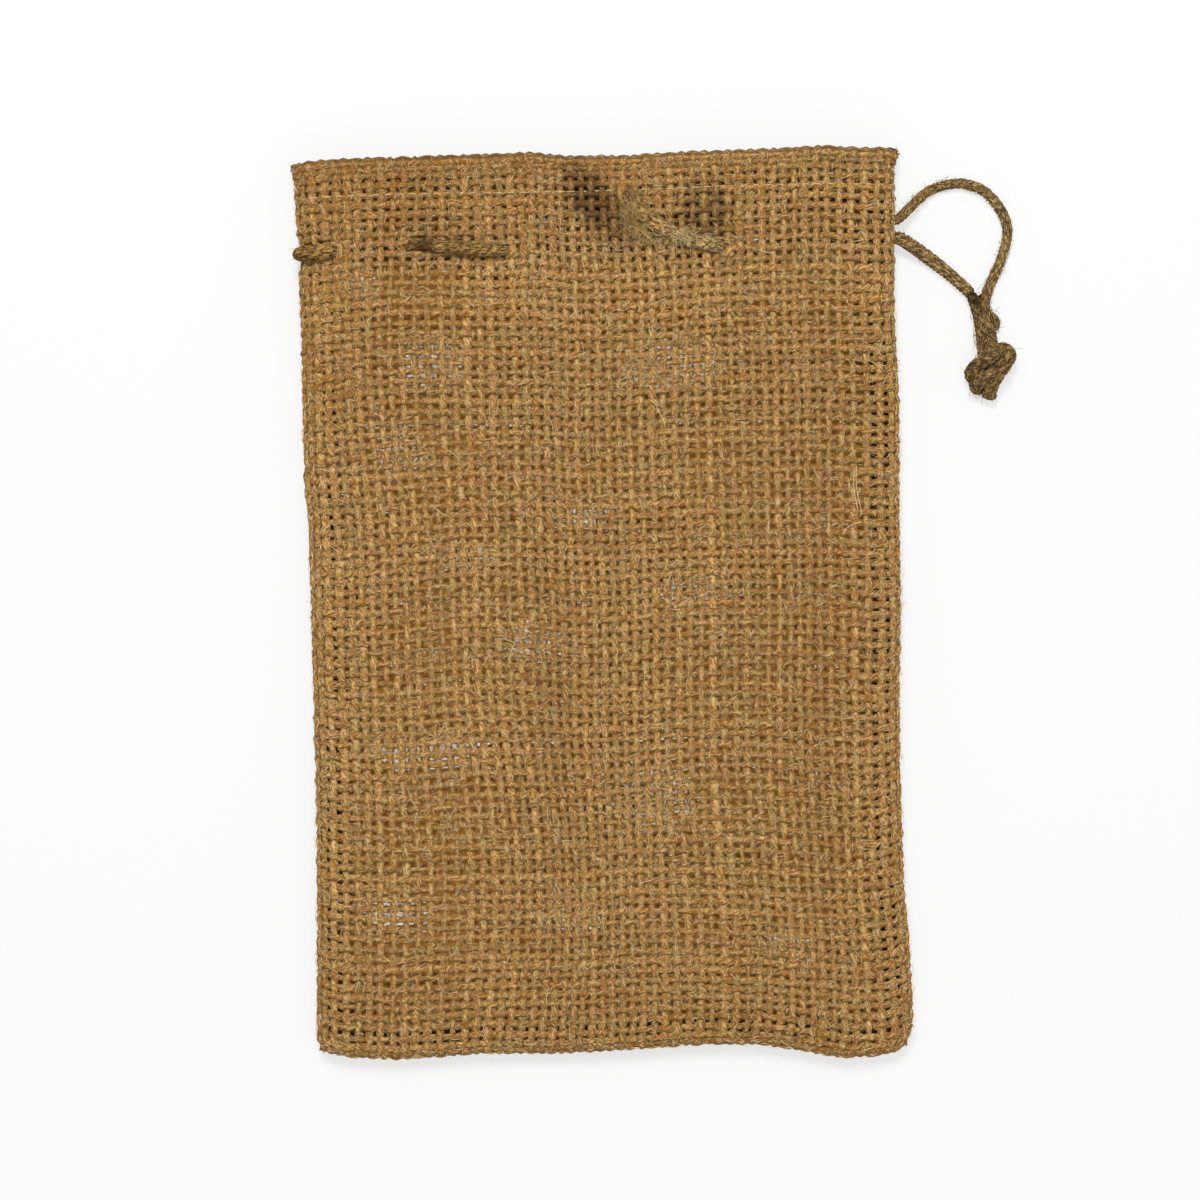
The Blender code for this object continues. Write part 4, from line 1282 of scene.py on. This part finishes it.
class SACK_OT_stitch_hem(bpy.types.Operator):
    """Sew the hem's line of thread on both cloths"""

    bl_idname = "sack.stitch_hem"
    bl_label = "Stitch Hem"

    def execute(self, context):
        weave, trim, _ = settings_of(context)
        rng = np.random.default_rng(SEWING_SEED)
        tubes = [thread_tubes(Cloth(outward, weave), trim, rng) for _, outward, _ in CLOTHS]
        material = fibre_material("hem thread", trim.thread_colour, THREAD_ROUGHNESS)
        add_piece("hem_thread", tubes, material)
        return {"FINISHED"}


class SACK_OT_lay_drawstring(bpy.types.Operator):
    """Lay the twisted drawstring and tie its knot"""

    bl_idname = "sack.lay_drawstring"
    bl_label = "Lay Drawstring"

    def execute(self, context):
        weave, trim, _ = settings_of(context)
        cord_tubes = [ply_tubes(CORD_WAY, CORD_LENGTH, CORD_DIAMETER / 2, trim, CORD_SWELL)]
        material = yarn_material(
            "jute cord", CORD_PLIES, CORD_LENGTH, trim.cord_pale, trim.cord_deep, weave, CORD_RUST,
            CORD_TWIST, CORD_FLANK_SHADE, CORD_MARKS,
        )
        cord = add_piece("cord", cord_tubes, material)
        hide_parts("drawstring")

        knot_tubes = []
        for radius, points in KNOT_STRANDS:
            way, length = smooth_route(points, KNOT_STEP)
            knot_tubes.append(ply_tubes(way, length, radius * MM, trim))
        lanes = sum(len(rings) for rings in knot_tubes)
        material = yarn_material(
            "jute knot", lanes, KNOT_STRAND, trim.knot_shaded_pale, trim.knot_shaded_deep, weave, KNOT_RUST,
            CORD_TWIST, KNOT_FLANK_SHADE, CORD_MARKS,
        )
        knot = add_piece("cord_knot", knot_tubes, material)
        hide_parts("drawstring_knot")
        return {"FINISHED"}


class SACK_OT_raise_fibres(bpy.types.Operator):
    """Raise loose fibres on the cloths and the drawstring"""

    bl_idname = "sack.raise_fibres"
    bl_label = "Raise Fibres"

    def execute(self, context):
        weave, trim, _ = settings_of(context)
        rng = np.random.default_rng(RAISING_SEED)
        stained = [(STAINS, weave.stain, FAR_STAINED)]
        material = fibre_material("loose jute fibres", trim.fibre_colour, FIBRE_ROUGHNESS, stained)
        for name, outward, share, haze in (
            ("front", 1, 1.0, 1.0), ("back", -1, weave.back_share, trim.back_haze)
        ):
            cloth = Cloth(outward, weave)
            tubes = []
            for number, reach, lift, curl, stray, start, inset, pieces, sheer_only in FIBRE_KINDS:
                number = round(number * (haze if sheer_only else share) * trim.fibre_share)
                places, faces = scattered(cloth, rng, number, inset * MM, sheer_only)
                heading = strayed(rng, len(places), stray)
                height = start * MM * rng.uniform(*START_RANGE, (len(places), 1))
                starts = places + faces * height
                fullness = SHEER_FULLNESS if sheer_only else 1.0
                tubes.append(loose_fibres(
                    starts, faces, heading, trim, rng, reach * MM, lift * MM, curl, pieces, fullness
                ))
            if outward > 0:
                tubes += [loose_thread(cloth, points, trim) for points in LOOSE_THREADS]
            add_piece(f"{name}_fibres", tubes, material)

        tubes = []
        for way, (count, radius) in ((CORD_WAY, CORD_FIBRES), (KNOT_WAY, KNOT_FIBRES)):
            picked = rng.integers(1, len(way) - 1, count)
            course = unit(np.gradient(way, axis=0))[picked]
            out = unit(np.cross(course, rng.standard_normal((count, 3))))
            heading = course + CORD_STRAY * rng.standard_normal((count, 3))
            starts = way[picked] + out * radius
            tubes.append(loose_fibres(starts, out, heading, trim, rng, *CORD_FUZZ))
        for x, y, reach_x, reach_y, count in FRAYED:
            tubes.append(frayed_fibres((x, y), (reach_x, reach_y), count, trim, rng))
        material = fibre_material(
            "frayed jute fibres", trim.fray_colour, FIBRE_ROUGHNESS, CORD_MARKS, "MULTIPLY"
        )
        add_piece("cord_fibres", tubes, material)
        return {"FINISHED"}


# the lights: name, place, size, power; the strength of the world's light; and the camera's x and y
LIGHTS = (
    ("key", (-0.06, 0.38, 0.86), 0.26, 12.7),
    ("fill", (0.25, -0.2, 1.1), 1.2, 7.6),
)
WORLD_STRENGTH = 0.81
CAMERA_X, CAMERA_Y = -0.17 * MM, 0.68 * MM
WHITE = (1.0, 1.0, 1.0, 1.0)


class SACK_OT_set_stage(bpy.types.Operator):
    """Set the pale floor, the soft lights and the camera straight above the sack"""

    bl_idname = "sack.set_stage"
    bl_label = "Set Stage"

    def execute(self, context):
        _, _, stage = settings_of(context)
        scene = context.scene
        made = bmesh.new()
        bmesh.ops.create_grid(made, x_segments=1, y_segments=1, size=stage.floor_size / 2)
        mesh = bpy.data.meshes.new("floor")
        made.to_mesh(mesh)
        made.free()
        floor = bpy.data.objects.new("floor", mesh)
        scene.collection.objects.link(floor)
        material, _, shader = new_material("pale floor", FLOOR_ROUGHNESS)
        shader.inputs["Base Color"].default_value = stage.floor_colour
        shader.inputs["Emission Color"].default_value = WHITE
        shader.inputs["Emission Strength"].default_value = stage.floor_glow
        mesh.materials.append(material)

        for name, place, size, power in LIGHTS:
            data = bpy.data.lights.new(name, "AREA")
            data.size = size
            data.energy = power
            light = bpy.data.objects.new(name, data)
            light.location = place
            light.rotation_euler = (-Vector(place)).to_track_quat("-Z", "Y").to_euler()
            scene.collection.objects.link(light)

        world = bpy.data.worlds.new("studio")
        world.use_nodes = True
        world.node_tree.nodes["Background"].inputs["Color"].default_value = WHITE
        world.node_tree.nodes["Background"].inputs["Strength"].default_value = WORLD_STRENGTH
        scene.world = world
        scene.view_settings.view_transform = "Standard"

        camera = bpy.data.objects.new("camera", bpy.data.cameras.new("camera"))
        camera.data.lens = stage.camera_lens
        camera.location = (CAMERA_X, CAMERA_Y, stage.camera_height)
        scene.collection.objects.link(camera)
        scene.camera = camera
        return {"FINISHED"}


class SACK_PT_build(bpy.types.Panel):
    """The sack's steps and settings"""

    bl_idname = "SACK_PT_build"
    bl_label = "Burlap Sack"
    bl_space_type = "VIEW_3D"
    bl_region_type = "UI"
    bl_category = "Sack"

    def draw(self, context):
        for settings in settings_of(context):
            box = self.layout.box()
            box.label(text=type(settings).__name__)
            for name in settings.__annotations__:
                box.prop(settings, name)
        for step in STEPS:
            self.layout.operator(step.bl_idname)


GROUPS = {"sack_weave": SackWeave, "sack_trim": SackTrim, "sack_stage": SackStage}
STEPS = (
    SACK_OT_lay_drawstring,
    SACK_OT_weave_cloths,
    SACK_OT_stitch_hem,
    SACK_OT_raise_fibres,
    SACK_OT_set_stage,
)


def register():
    for group in GROUPS.values():
        bpy.utils.register_class(group)
    for name, group in GROUPS.items():
        setattr(bpy.types.Scene, name, bpy.props.PointerProperty(type=group))
    for step in (*STEPS, SACK_PT_build):
        bpy.utils.register_class(step)


def unregister():
    for step in reversed((*STEPS, SACK_PT_build)):
        bpy.utils.unregister_class(step)
    for name in GROUPS:
        delattr(bpy.types.Scene, name)
    for group in reversed(list(GROUPS.values())):
        bpy.utils.unregister_class(group)


def main():
    register()
    for step in STEPS:
        family, call = step.bl_idname.split(".")
        getattr(getattr(bpy.ops, family), call)()


if __name__ == "__main__":
    main()
